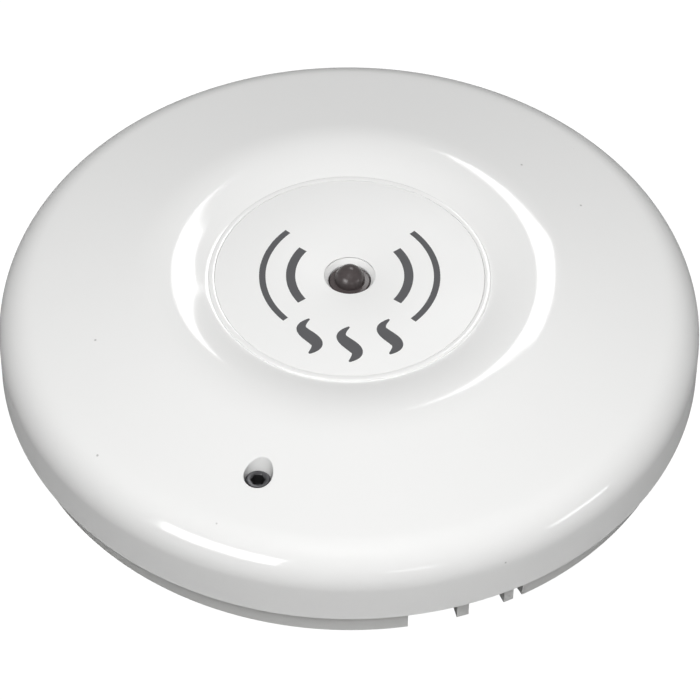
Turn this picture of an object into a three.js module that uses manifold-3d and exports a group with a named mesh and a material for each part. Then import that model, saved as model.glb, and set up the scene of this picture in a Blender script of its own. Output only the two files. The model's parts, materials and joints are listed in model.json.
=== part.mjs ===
// Ceiling smoke detector: a twist-lock base, an optical head and a push-on domed cover.
// Millimetres, +Z out of the ceiling and into the room, origin at the centre of the back of the base.
// Angles called "azimuth" run from the front (-Y) towards +X.

import * as THREE from 'three';
import { mergeVertices } from 'three/addons/utils/BufferGeometryUtils.js';
import Module from 'manifold-3d';

// ---------------------------------------------------------------- driving dimensions

// Cover shell
const COVER_RADIUS = 57.5;
const COVER_LIP_RADIUS = 57.65;
const COVER_LIP_Z = 5.45;
const COVER_WALL = 1.6;
const SHOULDER_RADIUS = 7.25;
const SHOULDER_Z = 11.6;
const CREST_RADIUS = 30.9;
const APRON_BENDS = [{ curve: 18, tilt: 6 }, { curve: 26, tilt: 11.5 }];
const DISH_BENDS = [{ curve: 22, tilt: -10 }, { curve: 30, tilt: -14.5 }];
const BADGE_EDGE_RADIUS = 23;
const BADGE_FOOT_RADIUS = 23.1;
const BADGE_EDGE_ROUND = 0.3;
const BADGE_RISE = 0.3;
const LABEL_POCKET_RADIUS = 22;
const LABEL_POCKET_DEPTH = 0.35;
const LENS_BORE_RADIUS = 3.45;
const LENS_BEVEL_RADIUS = 4.15;
const LENS_BEVEL_DEPTH = 0.8;
const LABEL_EDGE_GAP = 0.3;
const LABEL_FACE_GAP = 0.05;
const PEG_BOSS_RADIUS = 3.8;
const PEG_BOSS_BORE_RADIUS = 2.4;
const PEG_BOSS_Z = 9.2;

// Locking screw, its hole in the cover and what it passes through
const SCREW_AZIMUTH = -18.5;
const SCREW_CIRCLE = 43.65;
const SCREW_RADIUS = 2;
const SCREW_TOP_Z = 19.3;
const SCREW_LENGTH = 16;
const SCREW_SOCKET_ACROSS = 2;
const SCREW_SOCKET_DEPTH = 2.5;
const SCREW_HOLE_RADIUS = 2.2;
const SCREW_MOUTH_LEAN = 2.2;
const SCREW_HOLE_TOP_Z = 23;
const GUIDE_TUBE_RADIUS = 3.7;
const GUIDE_TUBE_Z = 15.9;
const INSERT_RADIUS = 3.2;
const INSERT_BORE_RADIUS = 2.3;
const INSERT_Z = [8.9, 15.3];
const POST_WALL = 1.6;
const PRESSURE_PAD_RADIUS = 1.6;

// Base
const RIM_RADIUS = 55.75;
const RIM_WALL = 1.8;
const RIM_TOP_Z = 8.2;
const RIM_OPENING_TOP_Z = 5.7;
const PLATE_THICKNESS = 2;
const RIM_OPENINGS = [[9.7, 17.8], [19.8, 26], [27.7, 29.4]];
const RIM_OPENING_GROUPS = 4;
const PLATE_NOTCH_RADIUS = 50;
const CABLE_ENTRY_RADIUS = 9;
const GROMMET_BORE_RADIUS = 6.2;
const GROMMET_FLANGE = 2;
const GROMMET_Z = 0.4;
const FIXING_SLOT_RADIUS = 2.25;
const FIXING_SLOT_START = 26;
const FIXING_SLOT_END = 37;
const SLOT_PAD_WIDTH = 2;
const SLOT_PAD_TOP_Z = 2.6;
const HOOK_AZIMUTHS = [60, 180, 300];
const HOOK_SPAN = 14;
const HOOK_RADII = [49.5, 51.3];
const HOOK_LIP_RADIUS = 47.9;
const HOOK_LIP_Z = [8.7, 9.8];

// Terminals and contacts, one set in each quarter
const TERMINAL_AZIMUTHS = [45, 135, 225, 315];
const TERMINAL_CIRCLE = 36;
const TERMINAL_STRIP_WIDTH = 7;
const TERMINAL_STRIP_THICKNESS = 0.8;
const TERMINAL_STRIP_LENGTH = 8.5;
const TERMINAL_SCREW_HEAD_RADIUS = 3;
const TERMINAL_SCREW_HEAD_HEIGHT = 2;
const TERMINAL_SCREW_SHANK_RADIUS = 1.6;
const TERMINAL_SCREW_SLOT = 0.8;
const TERMINAL_BORE_RADIUS = 1.9;
const TERMINAL_BORE_Z = 0.6;
const TERMINAL_WASHER_SIDE = 7.4;
const TERMINAL_WASHER_THICKNESS = 0.9;
const LEAF_TOP_Z = 6.2;
const LEAF_THICKNESS = 0.5;

// Head
const CHASSIS_RADIUS = 47.2;
const CHASSIS_Z = [7, 8.4];
const LUG_RADIUS = 49.1;
const LUG_SPAN = 12;
const PEG_CIRCLE = 43;
const PEG_AZIMUTHS = [30, 150, 270];
const PEG_RADIUS = 2;
const PEG_TOP_Z = 15;
const STAND_RADIUS = 3;
const PILOT_RADIUS = 1.3;
const BLADE_CIRCLE = 28;
const BLADE_WINDOW = [3.4, 1.6];
const VENT_AZIMUTHS = [105, 180, 255];
const VENT_RADII = [38.5, 44.5];
const VENT_SPAN = 28;
const BOARD_RADIUS = 36;
const BOARD_Z = [9.4, 11];
const BOARD_SCREW_PLACES = [[26, -15], [26, 15], [-26, 15], [-26, -15]];
const BOARD_SCREW_RADIUS = 1;
const BOARD_SCREW_HEAD_RADIUS = 2.3;
const BOARD_HOLE_RADIUS = 1.5;
const CHIP = { place: [-17, -17], size: [7, 7, 1.2] };
const SUPPRESSOR = { place: [14, -24], size: [2.6, 4.6, 2.3] };
const RECTIFIER = { place: [4, -20], size: [4.6, 3.8, 2.2] };
const CAPACITOR = { place: [17.5, -12.5], radius: 3.2, height: 5.6 };
const LED_RADIUS = 2;
const LED_FLANGE_HEIGHT = 0.6;
const CHAMBER_PLACE = [0, 20.5];
const CHAMBER_RADIUS = 16.5;
const CHAMBER_Z = [11.3, 12.3];
const LABYRINTH_TOP_Z = 17.1;
const CAP_Z = [17.4, 18.5];
const VANE_COUNT = 16;
const VANE_LEAN = 38;
const SCREEN_GAP = 0.4;
const SCREEN_THICKNESS = 0.4;
const SCREEN_WINDOWS = 12;
const SCREEN_WINDOW_SIZE = [5.6, 5];
const EMITTER_AZIMUTH = 60;
const PHOTODIODE_AZIMUTH = 180;
const OPTIC_RADIUS = 1.5;
const OPTIC_LENGTH = 4.5;
const OPTIC_CIRCLE = 9;
const LENS_DOME_RADIUS = 2.42;
const LENS_DOME_Z = 20.7;
const LENS_FLANGE_RADIUS = 3.3;
const LENS_FLANGE_Z = [19.4, 20.3];
const LENS_STEM_RADIUS = 2.3;
const LENS_LED_GAP = 0.5;

// Fineness of round faces
const FINE = 64;
const MEDIUM = 28;
const COARSE = 16;

// Fit
const CLEARANCE = 0.1;
const CUT = 1;

// ---------------------------------------------------------------- solids and shapes

const wasm = await Module();
wasm.setup();

const rad = THREE.MathUtils.degToRad;
const point = (r, z) => new THREE.Vector2(r, z);

/** A closed geometry as a solid that can be joined and cut. */
function solid(geometry) {
  const bare = geometry.clone();
  bare.deleteAttribute('normal');
  bare.deleteAttribute('uv');
  const welded = mergeVertices(bare, 1e-4);
  const position = welded.attributes.position;
  const index = Array.from(welded.index.array);
  const kept = [];
  for (let i = 0; i < index.length; i += 3) {
    const [a, b, c] = index.slice(i, i + 3);
    if (a !== b && b !== c && c !== a) kept.push(a, b, c);
  }
  return new wasm.Manifold(new wasm.Mesh({
    numProp: 3,
    vertProperties: new Float32Array(position.array),
    triVerts: new Uint32Array(kept),
  }));
}

/** A finished solid as a geometry that a mesh can show. */
function geometryOf(body) {
  const mesh = body.getMesh();
  const geometry = new THREE.BufferGeometry();
  geometry.setAttribute('position', new THREE.BufferAttribute(new Float32Array(mesh.vertProperties), 3));
  geometry.setIndex(new THREE.BufferAttribute(new Uint32Array(mesh.triVerts), 1));
  geometry.computeVertexNormals();
  return geometry;
}

/** Points on an arc in the (radius, height) plane, angles from the radius axis. */
function arc(centreR, centreZ, radius, fromAngle, toAngle, steps) {
  const points = [];
  for (let i = 0; i <= steps; i += 1) {
    const angle = rad(fromAngle + (toAngle - fromAngle) * i / steps);
    points.push(point(centreR + radius * Math.cos(angle), centreZ + radius * Math.sin(angle)));
  }
  return points;
}

/** A profile turned about Z. */
function turned(profile, segments = MEDIUM) {
  const geometry = new THREE.LatheGeometry(profile, segments);
  geometry.rotateX(Math.PI / 2);
  return geometry;
}

/** A plain upright cylinder between two heights. */
function disc(radius, zLow, zHigh, segments = MEDIUM) {
  return turned([point(0, zLow), point(radius, zLow), point(radius, zHigh), point(0, zHigh)], segments);
}

/** An upright tube between two heights. */
function tube(outer, inner, zLow, zHigh, segments = MEDIUM) {
  const profile = [
    point(inner, zLow), point(outer, zLow), point(outer, zHigh), point(inner, zHigh), point(inner, zLow),
  ];
  return turned(profile, segments);
}

/** A box by its size and the middle of its underside. */
function block(width, depth, height, x, y, zLow) {
  const geometry = new THREE.BoxGeometry(width, depth, height);
  geometry.translate(x, y, zLow + height / 2);
  return geometry;
}

/** A flat shape pulled up from one height to another. */
function pulled(shape, zLow, zHigh, curveSegments = 12) {
  const depth = zHigh - zLow;
  const geometry = new THREE.ExtrudeGeometry(shape, { depth, bevelEnabled: false, curveSegments });
  geometry.translate(0, 0, zLow);
  return geometry;
}

/** Where a radius and an azimuth fall in plan. */
function place(radius, azimuth) {
  return [radius * Math.sin(rad(azimuth)), -radius * Math.cos(rad(azimuth))];
}

/** A ring sector between two radii and two azimuths. */
function sector(inner, outer, fromAzimuth, toAzimuth, zLow, zHigh, steps = 4) {
  const shape = new THREE.Shape();
  const edge = [];
  for (let i = 0; i <= steps; i += 1) {
    edge.push(place(outer, fromAzimuth + (toAzimuth - fromAzimuth) * i / steps));
  }
  for (let i = steps; i >= 0; i -= 1) {
    edge.push(place(inner, fromAzimuth + (toAzimuth - fromAzimuth) * i / steps));
  }
  shape.setFromPoints(edge.map(([x, y]) => point(x, y)));
  return pulled(shape, zLow, zHigh);
}

/** Moves a copy of a geometry in plan. */
function movedTo(geometry, [x, y]) {
  const copy = geometry.clone();
  copy.translate(x, y, 0);
  return copy;
}

/** Turns a geometry that is drawn along the front radius to an azimuth. */
function turnedTo(geometry, azimuth) {
  const copy = geometry.clone();
  copy.rotateZ(rad(azimuth));
  return copy;
}

/** A rounded slot along X, as a cutter. */
function slotAlongX(xStart, xEnd, radius, zLow, zHigh) {
  const shape = new THREE.Shape();
  shape.moveTo(xStart, -radius);
  shape.lineTo(xEnd, -radius);
  shape.absarc(xEnd, 0, radius, -Math.PI / 2, Math.PI / 2, false);
  shape.lineTo(xStart, radius);
  shape.absarc(xStart, 0, radius, Math.PI / 2, 1.5 * Math.PI, false);
  return pulled(shape, zLow, zHigh, 6);
}

/** A regular prism with flat sides, by the distance across its flats. */
function hexPrism(acrossFlats, zLow, zHigh) {
  const corner = acrossFlats / Math.sqrt(3);
  return turned([point(0, zLow), point(corner, zLow), point(corner, zHigh), point(0, zHigh)], 6);
}

// ---------------------------------------------------------------- materials

const finish = (color, roughness, metalness) => (
  new THREE.MeshStandardMaterial({ color, roughness, metalness })
);

const finishes = {
  coverWhite: finish('#f4f4f2', 0.18, 0),
  baseWhite: finish('#ecece9', 0.4, 0),
  label: finish('#f6f6f4', 0.45, 0),
  chamberBlack: finish('#17181a', 0.6, 0),
  smokedLens: finish('#2a2422', 0.08, 0),
  clearLens: finish('#d8dde0', 0.1, 0),
  boardGreen: finish('#2c5a3c', 0.5, 0),
  partBlack: finish('#1b1c1e', 0.4, 0),
  rubber: finish('#3a3b3d', 0.8, 0),
  nylon: finish('#e5e1d6', 0.5, 0),
  brass: finish('#b99a52', 0.35, 1),
  steel: finish('#b9bcc0', 0.3, 1),
  blackSteel: finish('#4a4b4e', 0.3, 1),
  copper: finish('#b87b4a', 0.35, 1),
  capBlue: finish('#2d4e8c', 0.4, 0),
};

const detector = new THREE.Group();
const baseGroup = new THREE.Group();
const headGroup = new THREE.Group();
const coverGroup = new THREE.Group();
const screwGroup = new THREE.Group();
detector.add(baseGroup, headGroup, coverGroup, screwGroup);

/** Adds one named sub-part to a group. */
function add(group, name, body, material) {
  const geometry = body.isBufferGeometry ? geometryOf(solid(body)) : geometryOf(body);
  const mesh = new THREE.Mesh(geometry, material);
  mesh.name = name;
  group.add(mesh);
  return mesh;
}

// ---------------------------------------------------------------- cover

/** A bend drawn by its tilts, which are the angles between its normal and the upright axis. */
function bend(centre, curve, fromTilt, toTilt, steps) {
  return arc(centre.x, centre.y, curve, 90 - fromTilt, 90 - toTilt, steps);
}

/** Bends that follow on from the crest without a kink, each with its own curve and last tilt. */
function bendsFrom(crest, bends, offset, steps) {
  const points = [];
  let centre = point(crest.x, crest.y - bends[0].curve);
  let tilt = 0;
  bends.forEach((next, i) => {
    if (i > 0) {
      const back = next.curve - bends[i - 1].curve;
      centre = point(centre.x - back * Math.sin(rad(tilt)), centre.y - back * Math.cos(rad(tilt)));
    }
    points.push(...bend(centre, next.curve - offset, tilt, next.tilt, steps[i]));
    tilt = next.tilt;
  });
  return points;
}

/** The cover's skin from its lip to the foot of the badge, set in by an offset. */
function coverSkin(offset, [shoulderSteps, crestSteps, apronSteps, dishSteps]) {
  const slope = APRON_BENDS[1].tilt;
  const shoulder = point(COVER_RADIUS - SHOULDER_RADIUS, SHOULDER_Z);
  const [slopeStart] = bend(shoulder, SHOULDER_RADIUS, slope, slope, 1);
  const flatApron = bendsFrom(point(CREST_RADIUS, 0), APRON_BENDS, 0, [1, 1]);
  const apronEnd = flatApron[flatApron.length - 1];
  const crestZ = slopeStart.y + (slopeStart.x - apronEnd.x) * Math.tan(rad(slope)) - apronEnd.y;
  const crest = point(CREST_RADIUS, crestZ);
  const apron = bendsFrom(crest, APRON_BENDS, offset, [crestSteps, apronSteps]).reverse();
  const dish = bendsFrom(crest, DISH_BENDS, offset, [dishSteps, 1]);
  const dishEnd = dish[dish.length - 1];
  const footZ = dishEnd.y - (dishEnd.x - BADGE_FOOT_RADIUS) * Math.tan(rad(-DISH_BENDS[1].tilt));
  return [
    point(COVER_LIP_RADIUS - offset, COVER_LIP_Z),
    ...bend(shoulder, SHOULDER_RADIUS - offset, 90, slope, shoulderSteps),
    ...apron,
    ...dish.slice(1),
    point(BADGE_FOOT_RADIUS, footZ),
  ];
}

const outerSkin = coverSkin(0, [7, 2, 2, 3]);
const innerSkin = coverSkin(COVER_WALL, [3, 1, 1, 1]);
const middleSkin = coverSkin(COVER_WALL / 2, [3, 1, 1, 1]);
const FOOT_Z = outerSkin[outerSkin.length - 1].y;
const BADGE_TOP_Z = FOOT_Z + BADGE_RISE;
const POCKET_Z = BADGE_TOP_Z - LABEL_POCKET_DEPTH;
const BADGE_UNDER_Z = innerSkin[innerSkin.length - 1].y;

/** The oval-mouthed hole over the locking screw: upright below, leaning inwards above. */
function screwHole() {
  const heights = [GUIDE_TUBE_Z - CUT, SCREW_TOP_Z, SCREW_HOLE_TOP_Z];
  const leans = [0, 0, SCREW_MOUTH_LEAN];
  const rings = heights.length;
  const positions = [];
  const index = [];
  for (let k = 0; k < rings; k += 1) {
    for (let i = 0; i < COARSE; i += 1) {
      const turn = 2 * Math.PI * i / COARSE;
      const along = Math.cos(turn) > 0 ? leans[k] : 0;
      const x = SCREW_HOLE_RADIUS * Math.sin(turn);
      const y = -SCREW_CIRCLE + SCREW_HOLE_RADIUS * Math.cos(turn) + along * Math.cos(turn);
      positions.push(x, y, heights[k]);
    }
  }
  positions.push(0, -SCREW_CIRCLE, heights[0], 0, -SCREW_CIRCLE, heights[rings - 1]);
  const bottomCentre = rings * COARSE;
  for (let i = 0; i < COARSE; i += 1) {
    const next = (i + 1) % COARSE;
    index.push(bottomCentre, i, next);
    index.push(bottomCentre + 1, (rings - 1) * COARSE + next, (rings - 1) * COARSE + i);
    for (let k = 0; k < rings - 1; k += 1) {
      const low = k * COARSE;
      const high = low + COARSE;
      index.push(low + i, high + i, high + next, low + i, high + next, low + next);
    }
  }
  const geometry = new THREE.BufferGeometry();
  geometry.setAttribute('position', new THREE.Float32BufferAttribute(positions, 3));
  geometry.setIndex(index);
  return turnedTo(geometry, SCREW_AZIMUTH);
}

function makeCover() {
  const badgeEdgeR = BADGE_EDGE_RADIUS - BADGE_EDGE_ROUND;
  const profile = [
    ...outerSkin,
    ...arc(badgeEdgeR, BADGE_TOP_Z - BADGE_EDGE_ROUND, BADGE_EDGE_ROUND, 0, 90, 3),
    point(LABEL_POCKET_RADIUS, BADGE_TOP_Z),
    point(LABEL_POCKET_RADIUS, POCKET_Z),
    point(LENS_BEVEL_RADIUS, POCKET_Z),
    point(LENS_BORE_RADIUS, POCKET_Z - LENS_BEVEL_DEPTH),
    point(LENS_BORE_RADIUS, BADGE_UNDER_Z),
    ...innerSkin.slice().reverse(),
    outerSkin[0],
  ];
  let shell = solid(turned(profile, FINE));
  const roomUnderSkin = solid(turned([
    point(0, COVER_LIP_Z),
    ...middleSkin,
    point(0, middleSkin[middleSkin.length - 1].y),
  ], FINE));
  for (const azimuth of PEG_AZIMUTHS) {
    const boss = tube(PEG_BOSS_RADIUS, PEG_BOSS_BORE_RADIUS, PEG_BOSS_Z, SCREW_HOLE_TOP_Z, COARSE);
    shell = shell.add(solid(movedTo(boss, place(PEG_CIRCLE, azimuth))).intersect(roomUnderSkin));
  }
  const guide = movedTo(disc(GUIDE_TUBE_RADIUS, GUIDE_TUBE_Z, SCREW_HOLE_TOP_Z, COARSE),
    place(SCREW_CIRCLE, SCREW_AZIMUTH));
  shell = shell.add(solid(guide).intersect(roomUnderSkin)).subtract(solid(screwHole()));
  add(coverGroup, 'cover', shell, finishes.coverWhite);

  const label = tube(LABEL_POCKET_RADIUS - LABEL_EDGE_GAP, LENS_BEVEL_RADIUS,
    POCKET_Z + LABEL_FACE_GAP, BADGE_TOP_Z - LABEL_FACE_GAP, FINE);
  add(coverGroup, 'centre_label', label, finishes.label);
}

// ---------------------------------------------------------------- base

function makeMountingBase() {
  const rimInner = RIM_RADIUS - RIM_WALL;
  const profile = [
    point(0, 0),
    point(RIM_RADIUS, 0),
    point(RIM_RADIUS, RIM_TOP_Z),
    point(rimInner, RIM_TOP_Z),
    point(rimInner, PLATE_THICKNESS),
    point(0, PLATE_THICKNESS),
  ];
  let base = solid(turned(profile, FINE));
  for (const side of [0, 180]) {
    const pad = slotAlongX(FIXING_SLOT_START, FIXING_SLOT_END, FIXING_SLOT_RADIUS + SLOT_PAD_WIDTH,
      PLATE_THICKNESS / 2, SLOT_PAD_TOP_Z);
    const slot = slotAlongX(FIXING_SLOT_START, FIXING_SLOT_END, FIXING_SLOT_RADIUS,
      -CUT, SLOT_PAD_TOP_Z + CUT);
    base = base.add(solid(turnedTo(pad, side))).subtract(solid(turnedTo(slot, side)));
  }
  base = base.subtract(solid(disc(CABLE_ENTRY_RADIUS, -CUT, PLATE_THICKNESS + CUT)));
  for (let group = 0; group < RIM_OPENING_GROUPS; group += 1) {
    const shift = group * 360 / RIM_OPENING_GROUPS;
    for (const [from, to] of RIM_OPENINGS) {
      const gap = sector(PLATE_NOTCH_RADIUS, RIM_RADIUS + CUT, from + shift, to + shift, -CUT,
        RIM_OPENING_TOP_Z);
      base = base.subtract(solid(gap));
    }
  }
  for (const azimuth of HOOK_AZIMUTHS) {
    const from = azimuth - HOOK_SPAN / 2;
    const to = azimuth + HOOK_SPAN / 2;
    const post = sector(HOOK_RADII[0], HOOK_RADII[1], from, to, PLATE_THICKNESS - 0.5, HOOK_LIP_Z[1]);
    const lip = sector(HOOK_LIP_RADIUS, HOOK_RADII[0] + 0.5, from, to, HOOK_LIP_Z[0], HOOK_LIP_Z[1]);
    base = base.add(solid(post)).add(solid(lip));
  }
  for (const azimuth of TERMINAL_AZIMUTHS) {
    const bore = disc(TERMINAL_BORE_RADIUS, TERMINAL_BORE_Z, PLATE_THICKNESS + CUT, COARSE);
    base = base.subtract(solid(movedTo(bore, place(TERMINAL_CIRCLE, azimuth))));
  }
  add(baseGroup, 'mounting_base', base, finishes.baseWhite);
}

/** The rubber ring that lines the cable entry. */
function makeGrommet() {
  const neck = CABLE_ENTRY_RADIUS - 3 * CLEARANCE;
  const flangeRadius = neck + GROMMET_FLANGE;
  const flangeZ = PLATE_THICKNESS + 3 * CLEARANCE;
  const profile = [
    point(GROMMET_BORE_RADIUS, GROMMET_Z),
    point(neck, GROMMET_Z),
    point(neck, flangeZ),
    point(flangeRadius, flangeZ),
    point(flangeRadius, flangeZ + GROMMET_FLANGE / 2),
    point(GROMMET_BORE_RADIUS, flangeZ + GROMMET_FLANGE / 2),
    point(GROMMET_BORE_RADIUS, GROMMET_Z),
  ];
  add(baseGroup, 'cable_grommet', turned(profile), finishes.rubber);
}

/** One quarter's terminal: a strip that rises into a spring leaf, a square washer and a screw. */
function makeTerminal(number, azimuth) {
  const stripZ = PLATE_THICKNESS + CLEARANCE;
  const stripTop = stripZ + TERMINAL_STRIP_THICKNESS;
  const leafUnder = LEAF_TOP_Z - LEAF_THICKNESS;
  const outerEnd = TERMINAL_CIRCLE + 4;
  const innerEnd = outerEnd - TERMINAL_STRIP_LENGTH;
  const side = new THREE.Shape([
    point(-outerEnd, stripZ),
    point(-innerEnd, stripZ),
    point(-innerEnd + 4, leafUnder),
    point(-innerEnd + 7, leafUnder),
    point(-innerEnd + 7, LEAF_TOP_Z),
    point(-innerEnd + 3.8, LEAF_TOP_Z),
    point(-innerEnd - 0.4, stripTop),
    point(-outerEnd, stripTop),
  ]);
  const strip = pulled(side, -TERMINAL_STRIP_WIDTH / 2, TERMINAL_STRIP_WIDTH / 2);
  strip.rotateX(Math.PI / 2);
  strip.rotateZ(Math.PI / 2);
  const seat = [0, -TERMINAL_CIRCLE];
  const hole = movedTo(disc(TERMINAL_BORE_RADIUS, stripZ - CUT, stripTop + CUT, COARSE), seat);
  const contact = solid(strip).subtract(solid(hole));
  add(baseGroup, `base_contact_${number}`, turnedTo(geometryOf(contact), azimuth), finishes.copper);

  const washerZ = stripTop + CLEARANCE;
  const washerTop = washerZ + TERMINAL_WASHER_THICKNESS;
  const plate = block(TERMINAL_WASHER_SIDE, TERMINAL_WASHER_SIDE, TERMINAL_WASHER_THICKNESS,
    ...seat, washerZ);
  const bore = movedTo(disc(TERMINAL_BORE_RADIUS, washerZ - CUT, washerTop + CUT, COARSE), seat);
  const washer = solid(plate).subtract(solid(bore));
  add(baseGroup, `terminal_washer_${number}`, turnedTo(geometryOf(washer), azimuth), finishes.steel);

  const headZ = washerTop + CLEARANCE;
  const headTop = headZ + TERMINAL_SCREW_HEAD_HEIGHT;
  const edge = 0.6;
  const profile = [
    point(0, TERMINAL_BORE_Z + 3 * CLEARANCE),
    point(TERMINAL_SCREW_SHANK_RADIUS, TERMINAL_BORE_Z + 3 * CLEARANCE),
    point(TERMINAL_SCREW_SHANK_RADIUS, headZ),
    point(TERMINAL_SCREW_HEAD_RADIUS, headZ),
    point(TERMINAL_SCREW_HEAD_RADIUS, headTop - edge),
    point(TERMINAL_SCREW_HEAD_RADIUS - edge, headTop),
    point(0, headTop),
  ];
  const slotLength = TERMINAL_SCREW_HEAD_RADIUS * 3;
  const slot = solid(block(slotLength, TERMINAL_SCREW_SLOT, 2 * CUT, 0, 0, headTop - CUT));
  const screw = solid(turned(profile, COARSE)).subtract(slot);
  add(baseGroup, `terminal_screw_${number}`, turnedTo(movedTo(geometryOf(screw), seat), azimuth),
    finishes.steel);
}

// ---------------------------------------------------------------- head

function makeChassis() {
  let chassis = solid(disc(CHASSIS_RADIUS, CHASSIS_Z[0], CHASSIS_Z[1], FINE));
  for (const azimuth of HOOK_AZIMUTHS) {
    const from = azimuth - LUG_SPAN / 2;
    const lug = sector(CHASSIS_RADIUS - 1, LUG_RADIUS, from, from + LUG_SPAN, CHASSIS_Z[0], CHASSIS_Z[1]);
    chassis = chassis.add(solid(lug));
  }
  for (const azimuth of PEG_AZIMUTHS) {
    const peg = movedTo(disc(PEG_RADIUS, CHASSIS_Z[0], PEG_TOP_Z, COARSE), place(PEG_CIRCLE, azimuth));
    chassis = chassis.add(solid(peg));
  }
  for (const spot of BOARD_SCREW_PLACES) {
    const stand = movedTo(disc(STAND_RADIUS, CHASSIS_Z[0], BOARD_Z[0] - CLEARANCE, COARSE), spot);
    const pilot = movedTo(disc(PILOT_RADIUS, CHASSIS_Z[0] - CUT, BOARD_Z[0] + CUT, COARSE), spot);
    chassis = chassis.add(solid(stand)).subtract(solid(pilot));
  }
  const screwSpot = place(SCREW_CIRCLE, SCREW_AZIMUTH);
  const pocketRadius = INSERT_RADIUS + 3 * CLEARANCE;
  const postTop = INSERT_Z[1] + 2 * CLEARANCE;
  const post = movedTo(disc(INSERT_RADIUS + POST_WALL, CHASSIS_Z[0], postTop, MEDIUM), screwSpot);
  const pocket = movedTo(disc(pocketRadius, INSERT_Z[0] - 3 * CLEARANCE, postTop + CUT, MEDIUM), screwSpot);
  const throughRadius = SCREW_RADIUS + 4 * CLEARANCE;
  const through = movedTo(disc(throughRadius, CHASSIS_Z[0] - CUT, INSERT_Z[1], COARSE), screwSpot);
  chassis = chassis.add(solid(post)).subtract(solid(pocket)).subtract(solid(through));
  for (const azimuth of TERMINAL_AZIMUTHS) {
    const window = block(...BLADE_WINDOW, 4 * CUT, 0, -BLADE_CIRCLE, CHASSIS_Z[0] - CUT);
    chassis = chassis.subtract(solid(turnedTo(window, azimuth)));
  }
  for (const azimuth of VENT_AZIMUTHS) {
    const from = azimuth - VENT_SPAN / 2;
    const vent = sector(...VENT_RADII, from, from + VENT_SPAN, CHASSIS_Z[0] - CUT, CHASSIS_Z[1] + CUT, 6);
    chassis = chassis.subtract(solid(vent));
  }
  add(headGroup, 'head_chassis', chassis, finishes.baseWhite);
}

/** A blade that carries one line from the base's spring leaf up to the board. */
function makeBlade(number, azimuth) {
  const footZ = CHASSIS_Z[0] - 0.6;
  const legTop = BOARD_Z[0] - 0.2;
  const foot = solid(block(6, 5.4, 0.5, 0, -BLADE_CIRCLE + 0.4, footZ));
  const leg = solid(block(2.6, 0.8, legTop - footZ - 0.2, 0, -BLADE_CIRCLE, footZ + 0.2));
  add(headGroup, `head_contact_${number}`, turnedTo(geometryOf(foot.add(leg)), azimuth), finishes.copper);
}

function makeBoard() {
  let board = solid(disc(BOARD_RADIUS, BOARD_Z[0], BOARD_Z[1], FINE));
  for (const spot of BOARD_SCREW_PLACES) {
    const hole = movedTo(disc(BOARD_HOLE_RADIUS, BOARD_Z[0] - CUT, BOARD_Z[1] + CUT, COARSE), spot);
    board = board.subtract(solid(hole));
  }
  add(headGroup, 'circuit_board', board, finishes.boardGreen);

  const headZ = BOARD_Z[1] + CLEARANCE;
  const headTop = headZ + 1.5;
  const edge = 0.6;
  const bar = block(BOARD_SCREW_HEAD_RADIUS * 1.1, edge, 2 * CUT, 0, 0, headTop - 0.7);
  const profile = [
    point(0, CHASSIS_Z[0] + 2 * CLEARANCE),
    point(BOARD_SCREW_RADIUS, CHASSIS_Z[0] + 2 * CLEARANCE),
    point(BOARD_SCREW_RADIUS, headZ),
    point(BOARD_SCREW_HEAD_RADIUS, headZ),
    point(BOARD_SCREW_HEAD_RADIUS, headTop - edge),
    point(BOARD_SCREW_HEAD_RADIUS - edge, headTop),
    point(0, headTop),
  ];
  const screw = solid(turned(profile, COARSE)).subtract(solid(bar)).subtract(solid(turnedTo(bar, 90)));
  BOARD_SCREW_PLACES.forEach((spot, i) => {
    add(headGroup, `board_screw_${i + 1}`, movedTo(geometryOf(screw), spot), finishes.steel);
  });
}

function makeBoardParts() {
  const top = BOARD_Z[1] + CLEARANCE;
  add(headGroup, 'controller_chip', block(...CHIP.size, ...CHIP.place, top), finishes.partBlack);
  const suppressor = block(...SUPPRESSOR.size, ...SUPPRESSOR.place, top);
  add(headGroup, 'surge_suppressor', suppressor, finishes.partBlack);
  add(headGroup, 'bridge_rectifier', block(...RECTIFIER.size, ...RECTIFIER.place, top), finishes.partBlack);
  const can = movedTo(disc(CAPACITOR.radius, top, top + CAPACITOR.height, MEDIUM), CAPACITOR.place);
  add(headGroup, 'smoothing_capacitor', can, finishes.capBlue);

  const ledZ = top + LED_FLANGE_HEIGHT;
  const led = [
    point(0, top),
    point(LED_RADIUS, top),
    ...arc(0, ledZ, LED_RADIUS, 0, 90, 4).slice(0, -1),
    point(0, ledZ + LED_RADIUS),
  ];
  add(headGroup, 'indicator_led', turned(led, COARSE), finishes.clearLens);

  const stemZ = ledZ + LED_RADIUS + LENS_LED_GAP;
  const lens = [
    point(0, stemZ),
    point(LENS_STEM_RADIUS, stemZ),
    point(LENS_STEM_RADIUS, LENS_FLANGE_Z[0] - 1),
    point(LENS_FLANGE_RADIUS, LENS_FLANGE_Z[0]),
    point(LENS_FLANGE_RADIUS, LENS_FLANGE_Z[1]),
    point(LENS_DOME_RADIUS, LENS_FLANGE_Z[1]),
    ...arc(0, LENS_DOME_Z, LENS_DOME_RADIUS, 0, 90, 6).slice(0, -1),
    point(0, LENS_DOME_Z + LENS_DOME_RADIUS),
  ];
  add(headGroup, 'indicator_lens', turned(lens, MEDIUM), finishes.smokedLens);
}

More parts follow.
